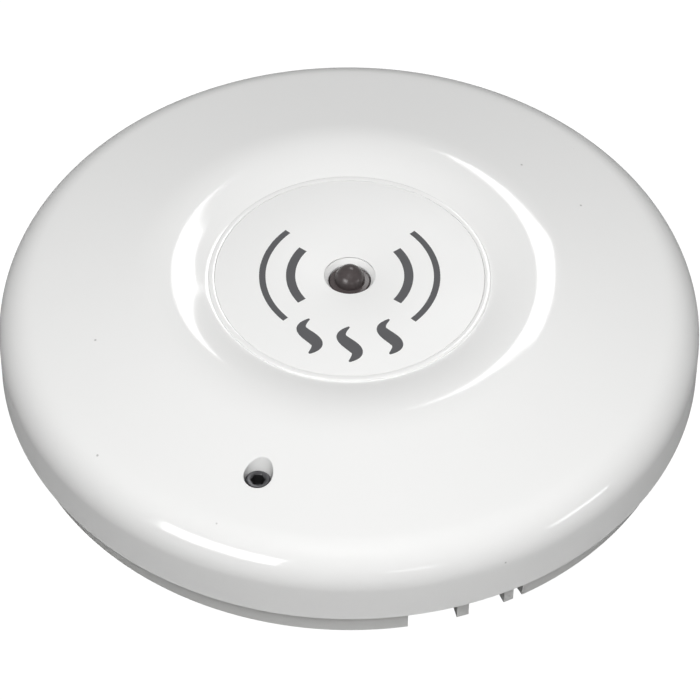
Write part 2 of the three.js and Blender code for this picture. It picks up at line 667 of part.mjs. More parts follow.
function makeChamber() {
  let labyrinth = solid(disc(CHAMBER_RADIUS, CHAMBER_Z[0], CHAMBER_Z[1], MEDIUM));
  const vaneZ = CHAMBER_Z[0] + 0.4;
  const vaneHeight = LABYRINTH_TOP_Z - vaneZ;
  const along = block(1, 4.4, vaneHeight, 0, 0, vaneZ);
  along.rotateZ(rad(VANE_LEAN));
  const across = block(3, 1, vaneHeight, 1.1, 1.6, vaneZ);
  const vane = movedTo(geometryOf(solid(along).add(solid(across))), [0, -(CHAMBER_RADIUS - 3.2)]);
  for (let i = 0; i < VANE_COUNT; i += 1) {
    labyrinth = labyrinth.add(solid(turnedTo(vane, i * 360 / VANE_COUNT)));
  }
  add(headGroup, 'chamber_labyrinth', movedTo(geometryOf(labyrinth), CHAMBER_PLACE), finishes.chamberBlack);

  const edge = 0.4;
  const cap = [
    point(0, CAP_Z[0]),
    point(CHAMBER_RADIUS, CAP_Z[0]),
    point(CHAMBER_RADIUS, CAP_Z[1] - edge),
    point(CHAMBER_RADIUS - edge, CAP_Z[1]),
    point(0, CAP_Z[1]),
  ];
  add(headGroup, 'chamber_cap', movedTo(turned(cap, MEDIUM), CHAMBER_PLACE), finishes.chamberBlack);

  const inside = CHAMBER_RADIUS + SCREEN_GAP;
  let screen = solid(tube(inside + SCREEN_THICKNESS, inside, CHAMBER_Z[0], CAP_Z[1], FINE / 2));
  const [windowWidth, windowHeight] = SCREEN_WINDOW_SIZE;
  const window = block(windowWidth, 4 * CUT, windowHeight, 0, -inside, CHAMBER_Z[1] + SCREEN_GAP);
  for (let i = 0; i < SCREEN_WINDOWS; i += 1) {
    screen = screen.subtract(solid(turnedTo(window, i * 360 / SCREEN_WINDOWS)));
  }
  add(headGroup, 'insect_screen', movedTo(geometryOf(screen), CHAMBER_PLACE), finishes.steel);
}

/** An infrared part: a small round-nosed body that looks across the chamber. */
function makeOptic(name, azimuth, material) {
  const straight = OPTIC_LENGTH - OPTIC_RADIUS;
  const profile = [
    point(0, 0),
    point(OPTIC_RADIUS, 0),
    point(OPTIC_RADIUS, straight),
    ...arc(0, straight, OPTIC_RADIUS, 0, 90, 4).slice(1, -1),
    point(0, OPTIC_LENGTH),
  ];
  const optic = turned(profile, COARSE);
  optic.rotateX(-Math.PI / 2);
  optic.translate(0, -OPTIC_CIRCLE, (CHAMBER_Z[1] + LABYRINTH_TOP_Z) / 2);
  add(headGroup, name, movedTo(turnedTo(optic, azimuth), CHAMBER_PLACE), material);
}

// ---------------------------------------------------------------- locking screw

function makeLockingScrew() {
  const bottom = SCREW_TOP_Z - SCREW_LENGTH;
  const chamfer = 0.3;
  const profile = [
    point(0, bottom),
    point(SCREW_RADIUS - 2 * chamfer, bottom),
    point(SCREW_RADIUS, bottom + 2 * chamfer),
    point(SCREW_RADIUS, SCREW_TOP_Z - chamfer),
    point(SCREW_RADIUS - chamfer, SCREW_TOP_Z),
    point(0, SCREW_TOP_Z),
  ];
  const socket = hexPrism(SCREW_SOCKET_ACROSS, SCREW_TOP_Z - SCREW_SOCKET_DEPTH, SCREW_TOP_Z + CUT);
  const screw = solid(turned(profile, COARSE)).subtract(solid(socket));
  const spot = place(SCREW_CIRCLE, SCREW_AZIMUTH);
  add(screwGroup, 'locking_screw', movedTo(geometryOf(screw), spot), finishes.blackSteel);

  const pad = disc(PRESSURE_PAD_RADIUS, PLATE_THICKNESS + 2 * CLEARANCE, bottom - CLEARANCE, COARSE);
  add(screwGroup, 'screw_pressure_pad', movedTo(pad, spot), finishes.nylon);

  const insert = tube(INSERT_RADIUS, INSERT_BORE_RADIUS, INSERT_Z[0], INSERT_Z[1], COARSE);
  add(headGroup, 'threaded_insert', movedTo(insert, spot), finishes.brass);
}

// ---------------------------------------------------------------- assembly

makeMountingBase();
makeGrommet();
TERMINAL_AZIMUTHS.forEach((azimuth, i) => makeTerminal(i + 1, azimuth));
makeChassis();
TERMINAL_AZIMUTHS.forEach((azimuth, i) => makeBlade(i + 1, azimuth));
makeBoard();
makeBoardParts();
makeChamber();
makeOptic('infrared_emitter', EMITTER_AZIMUTH, finishes.clearLens);
makeOptic('photodiode', PHOTODIODE_AZIMUTH, finishes.partBlack);
makeLockingScrew();
makeCover();

export default detector;
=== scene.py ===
"""A low ceiling smoke detector on its back: twist-lock base, optical head and glossy domed cover.

Lengths inside the classes are millimetres. Meshes are written in metres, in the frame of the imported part:
+Z out of the ceiling into the room, -Y towards the locking screw, origin at the centre of the back.
An azimuth runs from the front (-Y) towards +X.
"""
from __future__ import annotations

import json
import logging
import math
from dataclasses import dataclass, field
from enum import Enum
from typing import Callable, Sequence

import bmesh
import bpy
from mathutils import Matrix, Vector

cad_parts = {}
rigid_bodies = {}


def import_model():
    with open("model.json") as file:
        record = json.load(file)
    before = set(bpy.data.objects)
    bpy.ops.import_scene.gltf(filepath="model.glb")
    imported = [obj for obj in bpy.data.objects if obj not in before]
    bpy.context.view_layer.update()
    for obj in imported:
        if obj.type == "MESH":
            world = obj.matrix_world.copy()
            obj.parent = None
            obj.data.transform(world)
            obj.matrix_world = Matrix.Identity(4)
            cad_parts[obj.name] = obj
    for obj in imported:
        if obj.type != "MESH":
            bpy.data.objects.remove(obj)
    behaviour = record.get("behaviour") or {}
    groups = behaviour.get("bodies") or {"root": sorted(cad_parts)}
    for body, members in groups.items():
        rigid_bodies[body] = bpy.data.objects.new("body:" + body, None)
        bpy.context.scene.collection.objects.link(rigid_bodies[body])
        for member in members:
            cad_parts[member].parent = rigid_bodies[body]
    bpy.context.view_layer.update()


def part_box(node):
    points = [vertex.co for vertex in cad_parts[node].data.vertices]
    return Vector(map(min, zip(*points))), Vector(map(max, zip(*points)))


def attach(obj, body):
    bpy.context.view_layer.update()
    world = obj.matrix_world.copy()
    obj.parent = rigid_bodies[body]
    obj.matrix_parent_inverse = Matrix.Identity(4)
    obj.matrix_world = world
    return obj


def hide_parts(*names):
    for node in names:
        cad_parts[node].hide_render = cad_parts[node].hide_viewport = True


log = logging.getLogger("detector")

MM = 0.001
FINE = 288
MEDIUM = 96
SMALL = 40

Piece = bpy.types.Object
NodeTree = bpy.types.NodeTree
Socket = bpy.types.NodeSocket
Point = tuple[float, float]
Loop = list[tuple[float, float, float]]
Faces = list[tuple[int, ...]]

# Radians of wave that the wave texture draws in one unit of its scale.
WAVE_RADIANS = 20.0
# The four places in plan where a screw holds the circuit board on its stand.
BOARD_SCREWS = ((26.0, -15.0), (26.0, 15.0), (-26.0, 15.0), (-26.0, -15.0))
# Turns a shape drawn in plan into one seen from the side: its outline in Y and Z, pulled along X.
SIDEWAYS = Matrix(((0, 0, 1, 0), (1, 0, 0, 0), (0, 1, 0, 0), (0, 0, 0, 1)))


class Body(Enum):
    """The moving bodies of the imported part."""

    BASE = "base"
    HEAD = "head"
    COVER = "cover"
    PAD = "screw_pad"
    SCREW = "screw"


class Shading(Enum):
    """How a mesh's edges catch light: the angle past which an edge is drawn sharp."""

    SMOOTH = 180.0
    SOFT = 50.0
    CREASED = 28.0


# ---- node trees


def add_node(tree: NodeTree, kind: str, inputs: dict | None = None, **settings) -> bpy.types.Node:
    """Add one node, set its properties, and fill or link its inputs.

    Args:
        tree: the shader or geometry tree.
        kind: the node's type name.
        inputs: input name or number to a value or to another node's output socket.
        settings: properties of the node.

    Returns:
        The new node.
    """
    made = tree.nodes.new(kind)
    for name, value in settings.items():
        setattr(made, name, value)
    for key, value in (inputs or {}).items():
        if isinstance(value, Socket):
            tree.links.new(value, made.inputs[key])
        else:
            made.inputs[key].default_value = value
    return made


def linear(colour: str, alpha: float = 1.0) -> tuple[float, float, float, float]:
    """Turn an sRGB hex colour into linear red, green, blue and alpha.

    Args:
        colour: such as "#f4f4f2".
        alpha: the fourth value.

    Returns:
        The linear colour.
    """
    parts = [int(colour[i:i + 2], 16) / 255 for i in (1, 3, 5)]
    parts = [c / 12.92 if c <= 0.04045 else ((c + 0.055) / 1.055) ** 2.4 for c in parts]
    return parts[0], parts[1], parts[2], alpha


# ---- finishes


@dataclass(frozen=True)
class Finish:
    """A real material and how its surface was made.

    Grain is the fine texture of the mould or the metal, peel is the long soft waviness of a glossy face,
    and mottle is the slow change of tone across it. Sizes are millimetres.
    """

    name: str
    slot: str
    colour: str
    roughness: float
    ior: float = 1.5
    metallic: float = 0.0
    roughness_spread: float = 0.03
    mottle: float = 0.02
    mottle_mm: float = 14.0
    grain_mm: float = 0.25
    grain_height: float = 0.0
    peel_mm: float = 5.0
    peel_height: float = 0.0
    specular: float = 0.5

    def tone(self, tree: NodeTree, place: Socket) -> Socket:
        """Make the colour of the surface.

        Args:
            tree: the material's tree.
            place: Object coordinates.

        Returns:
            A colour output.
        """
        cloud = add_node(tree, "ShaderNodeTexNoise", {
            "Vector": place, "Scale": 1 / (self.mottle_mm * MM), "Detail": 3.0, "Roughness": 0.55})
        base = linear(self.colour)
        dark = [c * (1 - self.mottle) for c in base[:3]] + [1.0]
        light = [min(1.0, c * (1 + self.mottle)) for c in base[:3]] + [1.0]
        mix = add_node(tree, "ShaderNodeMix", {0: cloud.outputs["Fac"], 6: dark, 7: light}, data_type="RGBA")
        return mix.outputs[2]

    def relief(self, tree: NodeTree, place: Socket) -> Socket | None:
        """Make the bump of the surface.

        Args:
            tree: the material's tree.
            place: Object coordinates.

        Returns:
            A normal output, or None where the surface is flat.
        """
        normal = None
        for scale_mm, height in ((self.peel_mm, self.peel_height), (self.grain_mm, self.grain_height)):
            if height:
                noise = add_node(tree, "ShaderNodeTexNoise", {
                    "Vector": place, "Scale": 1 / (scale_mm * MM), "Detail": 2.0, "Roughness": 0.5})
                inputs = {"Height": noise.outputs["Fac"], "Distance": height * MM, "Strength": 1.0}
                if normal is not None:
                    inputs["Normal"] = normal
                normal = add_node(tree, "ShaderNodeBump", inputs).outputs["Normal"]
        return normal

    def gloss(self, tree: NodeTree, place: Socket) -> Socket:
        """Make the roughness, which varies a little with handling and flow in the mould.

        Args:
            tree: the material's tree.
            place: Object coordinates.

        Returns:
            A value output.
        """
        noise = add_node(tree, "ShaderNodeTexNoise", {
            "Vector": place, "Scale": 1 / (self.mottle_mm * 0.6 * MM), "Detail": 4.0, "Roughness": 0.6})
        spread = add_node(tree, "ShaderNodeMapRange", {
            "Value": noise.outputs["Fac"], "From Min": 0.3, "From Max": 0.7,
            "To Min": max(0.0, self.roughness - self.roughness_spread),
            "To Max": min(1.0, self.roughness + self.roughness_spread)})
        return spread.outputs["Result"]

    def material(self) -> bpy.types.Material:
        """Build the material once and hand it out again after that."""
        known = bpy.data.materials.get(self.name)
        if known is not None:
            return known
        made = bpy.data.materials.new(self.name)
        made.use_nodes = True
        tree = made.node_tree
        tree.nodes.clear()
        place = add_node(tree, "ShaderNodeTexCoord").outputs["Object"]
        inputs = {
            "Base Color": self.tone(tree, place), "Roughness": self.gloss(tree, place),
            "Metallic": self.metallic, "IOR": self.ior, "Specular IOR Level": self.specular}
        normal = self.relief(tree, place)
        if normal is not None:
            inputs["Normal"] = normal
        shader = add_node(tree, "ShaderNodeBsdfPrincipled", inputs)
        self.extras(shader)
        add_node(tree, "ShaderNodeOutputMaterial", {"Surface": shader.outputs["BSDF"]})
        return made

    def extras(self, shader: bpy.types.Node) -> None:
        """Set what only some finishes have on the finished shader."""

    def dress(self, piece: Piece) -> None:
        """Give a piece this material and nothing else."""
        piece.data.materials.clear()
        piece.data.materials.append(self.material())


@dataclass(frozen=True)
class DustedGloss(Finish):
    """Polished moulding with a few specks of dust on it."""

    speck_mm: float = 9.0
    speck_colour: str = "#8b8a88"
    speck_size: float = 0.028

    def tone(self, tree: NodeTree, place: Socket) -> Socket:
        """Scatter small grey specks over the plain tone, one to a few cells."""
        plain = super().tone(tree, place)
        cells = add_node(tree, "ShaderNodeTexVoronoi", {
            "Vector": place, "Scale": 1 / (self.speck_mm * MM), "Randomness": 1.0})
        near = add_node(tree, "ShaderNodeMapRange", {
            "Value": cells.outputs["Distance"], "From Min": self.speck_size * 0.5, "From Max": self.speck_size,
            "To Min": 0.55, "To Max": 0.0})
        mix = add_node(tree, "ShaderNodeMix", {
            0: near.outputs["Result"], 6: plain, 7: linear(self.speck_colour)}, data_type="RGBA")
        return mix.outputs[2]


@dataclass(frozen=True)
class TurnedMetal(Finish):
    """Metal with rings or draw lines from the tool or the rolls, drawn coarse enough to show."""

    line_mm: float = 0.754
    line_height: float = 0.004

    def relief(self, tree: NodeTree, place: Socket) -> Socket | None:
        """Add close parallel lines across the height of the piece to its grain."""
        under = super().relief(tree, place)
        lines = add_node(tree, "ShaderNodeTexWave", {
            "Vector": place, "Scale": 2 * math.pi / (self.line_mm * MM * WAVE_RADIANS),
            "Distortion": 1.2, "Detail": 2.0},
            wave_type="BANDS", bands_direction="Z")
        inputs = {"Height": lines.outputs["Fac"], "Distance": self.line_height * MM, "Strength": 1.0}
        if under is not None:
            inputs["Normal"] = under
        return add_node(tree, "ShaderNodeBump", inputs).outputs["Normal"]


@dataclass(frozen=True)
class ClearCast(Finish):
    """A clear or smoked cast resin that lets some light through."""

    transmission: float = 0.9

    def extras(self, shader: bpy.types.Node) -> None:
        """Let light through the resin."""
        shader.inputs["Transmission Weight"].default_value = self.transmission


@dataclass(frozen=True)
class SolderMask(Finish):
    """Green lacquer over a glass laminate, with copper tracks showing through as paler paths."""

    track_mm: float = 2.2
    track_colour: str = "#3f7d4f"

    def tone(self, tree: NodeTree, place: Socket) -> Socket:
        """Draw square-cornered tracks as the seams between blocky cells."""
        plain = super().tone(tree, place)
        cells = add_node(tree, "ShaderNodeTexVoronoi", {
            "Vector": place, "Scale": 1 / (self.track_mm * 3 * MM), "Randomness": 0.8},
            distance="CHEBYCHEV", feature="SMOOTH_F1")
        bands = add_node(tree, "ShaderNodeMath", {0: cells.outputs["Distance"], 1: 6.0}, operation="MULTIPLY")
        part = add_node(tree, "ShaderNodeMath", {0: bands.outputs[0]}, operation="FRACT")
        track = add_node(tree, "ShaderNodeMath", {0: part.outputs[0], 1: 0.55}, operation="GREATER_THAN")
        mix = add_node(tree, "ShaderNodeMix", {
            0: track.outputs[0], 6: plain, 7: linear(self.track_colour)}, data_type="RGBA")
        return mix.outputs[2]


# Polished white ABS, moulded: near-white, sharp highlights with a very soft orange peel, a little dust.
COVER_ABS = DustedGloss(
    "gloss_moulded_abs", "cover_white", "#f1f1f0", 0.09, ior=1.53, roughness_spread=0.015, mottle=0.006,
    peel_mm=9.0, peel_height=0.0012, grain_mm=0.6, grain_height=0.0001)
# Satin white ABS from an eroded mould: fine sand texture, no sharp reflections.
BASE_ABS = Finish(
    "satin_moulded_abs", "base_white", "#ebebe9", 0.42, ior=1.53, mottle=0.012, grain_mm=0.22,
    grain_height=0.010)
# Printed polyester label: satin film, faint fibre, slightly cooler than the cover.
LABEL_FILM = Finish(
    "satin_polyester_label", "label_white", "#f3f3f2", 0.40, ior=1.6, mottle=0.006, grain_mm=0.18,
    grain_height=0.003)
# Screen-printed grey ink, matt and a little uneven.
PRINT_INK = Finish(
    "screen_printed_ink", "label_white", "#58585a", 0.55, ior=1.5, mottle=0.05, mottle_mm=3.0, grain_mm=0.12,
    grain_height=0.004)
# Smoked acrylic light pipe, polished: dark with small clear reflections.
SMOKED_ACRYLIC = Finish(
    "smoked_acrylic", "smoked_acrylic", "#3d3b3c", 0.06, ior=1.49, mottle=0.04, mottle_mm=1.6,
    roughness_spread=0.01)
# Cast clear epoxy of a lamp or an emitter.
CLEAR_EPOXY = ClearCast("clear_cast_epoxy", "clear_epoxy", "#dfe6e8", 0.05, ior=1.54)
# Black polycarbonate with an eroded texture that keeps stray light down.
CHAMBER_PC = Finish(
    "black_polycarbonate", "chamber_black", "#1d1e20", 0.55, ior=1.58, mottle=0.06, grain_mm=0.3,
    grain_height=0.016)
# Green solder mask over woven glass laminate.
BOARD_MASK = SolderMask(
    "green_solder_mask", "board_laminate", "#2b6540", 0.28, ior=1.55, grain_mm=0.5, grain_height=0.004)
# Moulded black epoxy of chips, matt with a sharp sprue grain.
CHIP_EPOXY = Finish(
    "black_moulding_epoxy", "component_black", "#232427", 0.5, ior=1.55, mottle=0.05, mottle_mm=2.0,
    grain_mm=0.15, grain_height=0.006)
# Shrunk plastic sleeve of an electrolytic capacitor.
CAN_SLEEVE = Finish("blue_shrink_sleeve", "capacitor_sleeve", "#2b4a86", 0.25, ior=1.5, peel_mm=1.5,
                    peel_height=0.004)
# Moulded EPDM rubber: matt, bloomed grey.
GROMMET_RUBBER = Finish(
    "moulded_epdm_rubber", "rubber_grey", "#3b3c3e", 0.78, ior=1.5, mottle=0.08, mottle_mm=4.0, grain_mm=0.3,
    grain_height=0.01)
# Natural nylon: waxy off-white.
NYLON = Finish("natural_nylon", "natural_nylon", "#e4dfd2", 0.45, ior=1.53, grain_mm=0.3, grain_height=0.006)
# Rolled phosphor bronze strip with draw lines.
BRONZE = TurnedMetal(
    "rolled_phosphor_bronze", "contact_bronze", "#c79264", 0.3, metallic=1.0, mottle=0.06, mottle_mm=3.0)
# Turned brass insert.
BRASS = TurnedMetal("turned_brass", "turned_brass", "#d2b46a", 0.26, metallic=1.0, mottle=0.04)
# Bright zinc plate: cool grey with a slightly cloudy passivate.
ZINC = TurnedMetal(
    "bright_zinc_plate", "zinc_plate", "#c9ccd0", 0.27, metallic=1.0, mottle=0.05, mottle_mm=2.5,
    line_height=0.002)
# Woven stainless wire.
STAINLESS = TurnedMetal("woven_stainless_wire", "screen_steel", "#b4b6b8", 0.32, metallic=1.0, mottle=0.05)
# Alloy steel with a thin worn black oxide: dark, with a blotchy tone.
BLACK_OXIDE = TurnedMetal(
    "black_oxide_steel", "black_oxide_steel", "#8f9092", 0.3, metallic=1.0, mottle=0.12, mottle_mm=1.2,
    line_height=0.002)

# ---- meshes


def arc(centre: Point, radius: float, start: float, end: float, steps: int) -> list[Point]:
    """Points along an arc, angles in degrees from the first axis.

    Args:
        centre: the arc's centre.
        radius: its radius.
        start: first angle.
        end: last angle.
        steps: how many steps it is drawn in.

    Returns:
        steps + 1 points.
    """
    turns = [math.radians(start + (end - start) * i / steps) for i in range(steps + 1)]
    return [(centre[0] + radius * math.cos(a), centre[1] + radius * math.sin(a)) for a in turns]


def line(start: Point, end: Point, steps: int) -> list[Point]:
    """Evenly spaced points from one point to another, both included."""
    return [(start[0] + (end[0] - start[0]) * i / steps, start[1] + (end[1] - start[1]) * i / steps)
            for i in range(steps + 1)]


def rounded(corners: Sequence[Point], radius: float, steps: int = 3) -> list[Point]:
    """Round the inner corners of an open profile.

    Args:
        corners: the profile with sharp corners.
        radius: how far from a corner its rounding starts.
        steps: how many steps each rounding has.

    Returns:
        The profile with its first and last points kept.
    """
    out = [corners[0]]
    for before, here, after in zip(corners, corners[1:], corners[2:]):
        a, b, c = Vector(before), Vector(here), Vector(after)
        reach = min(radius, (a - b).length * 0.45, (c - b).length * 0.45)
        start, end = b + (a - b).normalized() * reach, b + (c - b).normalized() * reach
        for i in range(steps + 1):
            t = i / steps
            spot = start * (1 - t) ** 2 + b * 2 * t * (1 - t) + end * t ** 2
            out.append((spot.x, spot.y))
    out.append(corners[-1])
    return out


def rounded_loop(corners: Sequence[Point], radius: float, steps: int = 3) -> list[Point]:
    """Round every corner of a closed outline."""
    seam = ((corners[0][0] + corners[-1][0]) / 2, (corners[0][1] + corners[-1][1]) / 2)
    return rounded([seam, *corners, seam], radius, steps)[:-1]


def numbered(node: str, count: int) -> list[str]:
    """The names of a node's numbered copies."""
    return [f"{node}_{i + 1}" for i in range(count)]


def at_azimuth(radius: float, azimuth: float) -> Point:
    """Where a radius and an azimuth in degrees fall in plan."""
    a = math.radians(azimuth)
    return radius * math.sin(a), -radius * math.cos(a)


@dataclass
class Shell:
    """A mesh being drawn, in millimetres."""

    points: Loop = field(default_factory=list)
    faces: Faces = field(default_factory=list)

    def ring(self, loop: Loop) -> list[int]:
        """Add a loop of points and return their numbers."""
        first = len(self.points)
        self.points.extend(loop)
        return list(range(first, len(self.points)))

    def bridge(self, low: list[int], high: list[int]) -> None:
        """Join two loops of equal length with quads."""
        count = len(low)
        for i in range(count):
            j = (i + 1) % count
            self.faces.append((low[i], low[j], high[j], high[i]))

    def cap(self, ring: list[int]) -> None:
        """Close a loop with a fan to its middle."""
        middle = [sum(self.points[i][k] for i in ring) / len(ring) for k in range(3)]
        centre = self.ring([tuple(middle)])[0]
        for i, a in enumerate(ring):
            self.faces.append((a, ring[(i + 1) % len(ring)], centre))

    def turned(self, profile: Sequence[Point], segments: int, centre: Point = (0.0, 0.0)) -> list[list[int]]:
        """Turn a profile of radius and height about an upright axis.

        Args:
            profile: from the axis to the axis, or closed by repeating its first point.
            segments: steps round the turn.
            centre: the axis in plan.

        Returns:
            The rings, in the profile's order, without points on the axis.
        """
        closed = profile[0] == profile[-1]
        ends = [p for p in (profile[0], profile[-1]) if p[0] == 0 and not closed]
        body = [p for p in (profile[:-1] if closed else profile) if p[0] > 0]
        rings = []
        for r, z in body:
            turns = [2 * math.pi * i / segments for i in range(segments)]
            rings.append(self.ring([(centre[0] + r * math.cos(t), centre[1] + r * math.sin(t), z)
                                    for t in turns]))
        for low, high in zip(rings, rings[1:] + (rings[:1] if closed else [])):
            self.bridge(low, high)
        if ends:
            self.cap(rings[0])
            self.cap(rings[-1])
        return rings

    def prism(self, outline: Sequence[Point], low: float, high: float) -> None:
        """Pull a flat outline up from one height to another."""
        under = self.ring([(x, y, low) for x, y in outline])
        over = self.ring([(x, y, high) for x, y in outline])
        self.bridge(under, over)
        self.faces.append(tuple(reversed(under)))
        self.faces.append(tuple(over))

    def block(self, size: Sequence[float], centre: Sequence[float]) -> None:
        """Add a box by its size and the middle of its underside."""
        half_x, half_y = size[0] / 2, size[1] / 2
        x, y, z = centre
        self.prism([(x - half_x, y - half_y), (x + half_x, y - half_y), (x + half_x, y + half_y),
                    (x - half_x, y + half_y)], z, z + size[2])

    def sweep(self, section: Sequence[Point], azimuths: Point, steps: int = 16) -> None:
        """Sweep a closed section of radius and height from one azimuth to another.

        Args:
            section: the outline, without its first point repeated.
            azimuths: where the sweep starts and ends, in degrees.
            steps: how many steps it is drawn in.
        """
        rings = []
        for i in range(steps + 1):
            azimuth = azimuths[0] + (azimuths[1] - azimuths[0]) * i / steps
            rings.append(self.ring([(*at_azimuth(r, azimuth), z) for r, z in section]))
        for one, other in zip(rings, rings[1:]):
            self.bridge(one, other)
        self.faces += [tuple(reversed(rings[0])), tuple(rings[-1])]

    def moved(self, change: Matrix) -> "Shell":
        """A copy of this mesh, moved and turned by a matrix in millimetres."""
        return Shell([tuple(change @ Vector(p)) for p in self.points], list(self.faces))

    def object(self, name: str) -> Piece:
        """Make the Blender object: welded, closed, with its faces pointing out."""
        mesh = bpy.data.meshes.new(name)
        mesh.from_pydata([(x * MM, y * MM, z * MM) for x, y, z in self.points], [], self.faces)
        work = bmesh.new()
        work.from_mesh(mesh)
        bmesh.ops.remove_doubles(work, verts=work.verts, dist=1e-7)
        bmesh.ops.recalc_face_normals(work, faces=work.faces)
        work.to_mesh(mesh)
        work.free()
        made = bpy.data.objects.new(name, mesh)
        bpy.context.scene.collection.objects.link(made)
        return made


def settle(piece: Piece) -> Piece:
    """Turn a piece's modifiers into a plain mesh and take them off.

    Args:
        piece: the object with modifiers.

    Returns:
        The same object.
    """
    view = bpy.context.evaluated_depsgraph_get()
    result = bpy.data.meshes.new_from_object(piece.evaluated_get(view))
    old = piece.data
    piece.modifiers.clear()
    piece.data = result
    result.name = piece.name
    bpy.data.meshes.remove(old)
    return piece


def combine(piece: Piece, tool: Piece, operation: str) -> Piece:
    """Join a tool to a piece or cut it out, and drop the tool.

    Args:
        piece: the object that changes.
        tool: the object to join or cut.
        operation: "UNION" or "DIFFERENCE".

    Returns:
        The piece.
    """
    change = piece.modifiers.new("combine", "BOOLEAN")
    change.operation = operation
    change.solver = "EXACT"
    change.object = tool
    settle(piece)
    bpy.data.objects.remove(tool)
    return piece


def soften(piece: Piece, width: float, steps: int = 2, angle: float = 32.0) -> Piece:
    """Round a piece's sharp edges a little, as a mould or a deburred edge has them.

    Args:
        piece: the object.
        width: the rounding in millimetres.
        steps: segments of the rounding.
        angle: only edges sharper than this are rounded, in degrees.

    Returns:
        The same object.
    """
    bevel = piece.modifiers.new("soften", "BEVEL")
    bevel.width = width * MM
    bevel.segments = steps
    bevel.limit_method = "ANGLE"
    bevel.angle_limit = math.radians(angle)
    bevel.harden_normals = False
    return settle(piece)


def shade(piece: Piece, shading: Shading) -> None:
    """Shade a piece smooth, with edges sharper than the shading's angle drawn sharp."""
    piece.data.shade_smooth()
    if shading is not Shading.SMOOTH:
        piece.data.set_sharp_from_angle(angle=math.radians(shading.value))


def mount(piece: Piece, body: Body, finish: Finish, shading: Shading, *nodes: str) -> None:
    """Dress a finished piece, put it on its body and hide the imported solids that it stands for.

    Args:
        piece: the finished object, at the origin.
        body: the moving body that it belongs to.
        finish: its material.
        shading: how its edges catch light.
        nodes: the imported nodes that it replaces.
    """
    shade(piece, shading)
    finish.dress(piece)
    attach(piece, body.value)
    if nodes:
        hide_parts(*nodes)
    log.info("%s: %d faces on %s, %s", piece.name, len(piece.data.polygons), body.value, finish.name)


@dataclass(frozen=True)
class Room:
    """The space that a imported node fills, in millimetres."""

    low: Vector
    high: Vector

    @classmethod
    def of(cls, node: str) -> "Room":
        """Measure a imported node."""
        low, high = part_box(node)
        return cls(low / MM, high / MM)

    @property
    def centre(self) -> Vector:
        """The middle of the space."""
        return (self.low + self.high) / 2

    @property
    def radius(self) -> float:
        """Half the width of the space."""
        return (self.high.x - self.low.x) / 2


# ---- geometry trees


class Tree:
    """A geometry tree with named inputs that ends in Realize Instances and Set Material."""

    def __init__(self, name: str, sockets: dict[str, str]) -> None:
        """Start the tree.

        Args:
            name: the tree's name.
            sockets: input name to socket type.
        """
        self.tree = bpy.data.node_groups.new(name, "GeometryNodeTree")
        self.ids: dict[str, str] = {}
        sockets = {"Geometry": "NodeSocketGeometry", **sockets, "Finish": "NodeSocketMaterial"}
        for label, kind in sockets.items():
            made = self.tree.interface.new_socket(label, in_out="INPUT", socket_type=kind)
            self.ids[label] = made.identifier
        self.tree.interface.new_socket("Geometry", in_out="OUTPUT", socket_type="NodeSocketGeometry")
        self.source = add_node(self.tree, "NodeGroupInput").outputs

    def node(self, kind: str, inputs: dict | None = None, **settings) -> bpy.types.Node:
        """Add one node to this tree."""
        return add_node(self.tree, kind, inputs, **settings)

    def number(self, operation: str, first, second=0.0) -> Socket:
        """Add one sum to this tree and return its result."""
        return self.node("ShaderNodeMath", {0: first, 1: second}, operation=operation).outputs[0]

    def end(self, geometry: Socket) -> None:
        """Close the tree: real geometry with its finish on."""
        real = self.node("GeometryNodeRealizeInstances", {"Geometry": geometry})
        done = self.node("GeometryNodeSetMaterial", {
            "Geometry": real.outputs[0], "Material": self.source["Finish"]})
        self.node("NodeGroupOutput", {"Geometry": done.outputs[0]})

    def apply(self, piece: Piece, finish: Finish, **values) -> Piece:
        """Run the tree on a piece and keep the result as a plain mesh.

        Args:
            piece: the object whose mesh the tree starts from.
            finish: the material that the tree sets.
            values: the tree's inputs, with underscores for the spaces in their names.

        Returns:
            The same object.
        """
        change = piece.modifiers.new(self.tree.name, "NODES")
        change.node_group = self.tree
        change[self.ids["Finish"]] = finish.material()
        for label, value in values.items():
            change[self.ids[label.replace("_", " ")]] = value
        return settle(piece)


class RingTree(Tree):
    """Copies of a piece turned about the upright axis through the origin."""

    def __init__(self) -> None:
        """Build the tree."""
        super().__init__("ring_of_copies", {
            "Count": "NodeSocketInt", "First": "NodeSocketFloat", "Step": "NodeSocketFloat"})
        spots = self.node("GeometryNodePoints", {"Count": self.source["Count"]})
        index = self.node("GeometryNodeInputIndex").outputs[0]
        turn = self.number("MULTIPLY", index, self.source["Step"])
        angle = self.number("RADIANS", self.number("ADD", turn, self.source["First"]))
        rotation = self.node("FunctionNodeAxisAngleToRotation", {"Axis": (0.0, 0.0, 1.0), "Angle": angle})
        copies = self.node("GeometryNodeInstanceOnPoints", {
            "Points": spots.outputs[0], "Instance": self.source["Geometry"],
            "Rotation": rotation.outputs[0]})
        self.end(copies.outputs[0])


class RowTree(Tree):
    """Copies of a piece in a straight row along X, centred on the piece."""

    def __init__(self) -> None:
        """Build the tree."""
        super().__init__("row_of_copies", {"Count": "NodeSocketInt", "Pitch": "NodeSocketFloat"})
        spots = self.node("GeometryNodePoints", {"Count": self.source["Count"]})
        index = self.node("GeometryNodeInputIndex").outputs[0]
        last = self.number("SUBTRACT", self.source["Count"], 1.0)
        along = self.number("SUBTRACT", index, self.number("DIVIDE", last, 2.0))
        place = self.node("ShaderNodeCombineXYZ", {0: self.number("MULTIPLY", along, self.source["Pitch"])})
        spread = self.node("GeometryNodeSetPosition", {
            "Geometry": spots.outputs[0], "Position": place.outputs[0]})
        copies = self.node("GeometryNodeInstanceOnPoints", {
            "Points": spread.outputs[0], "Instance": self.source["Geometry"]})
        self.end(copies.outputs[0])


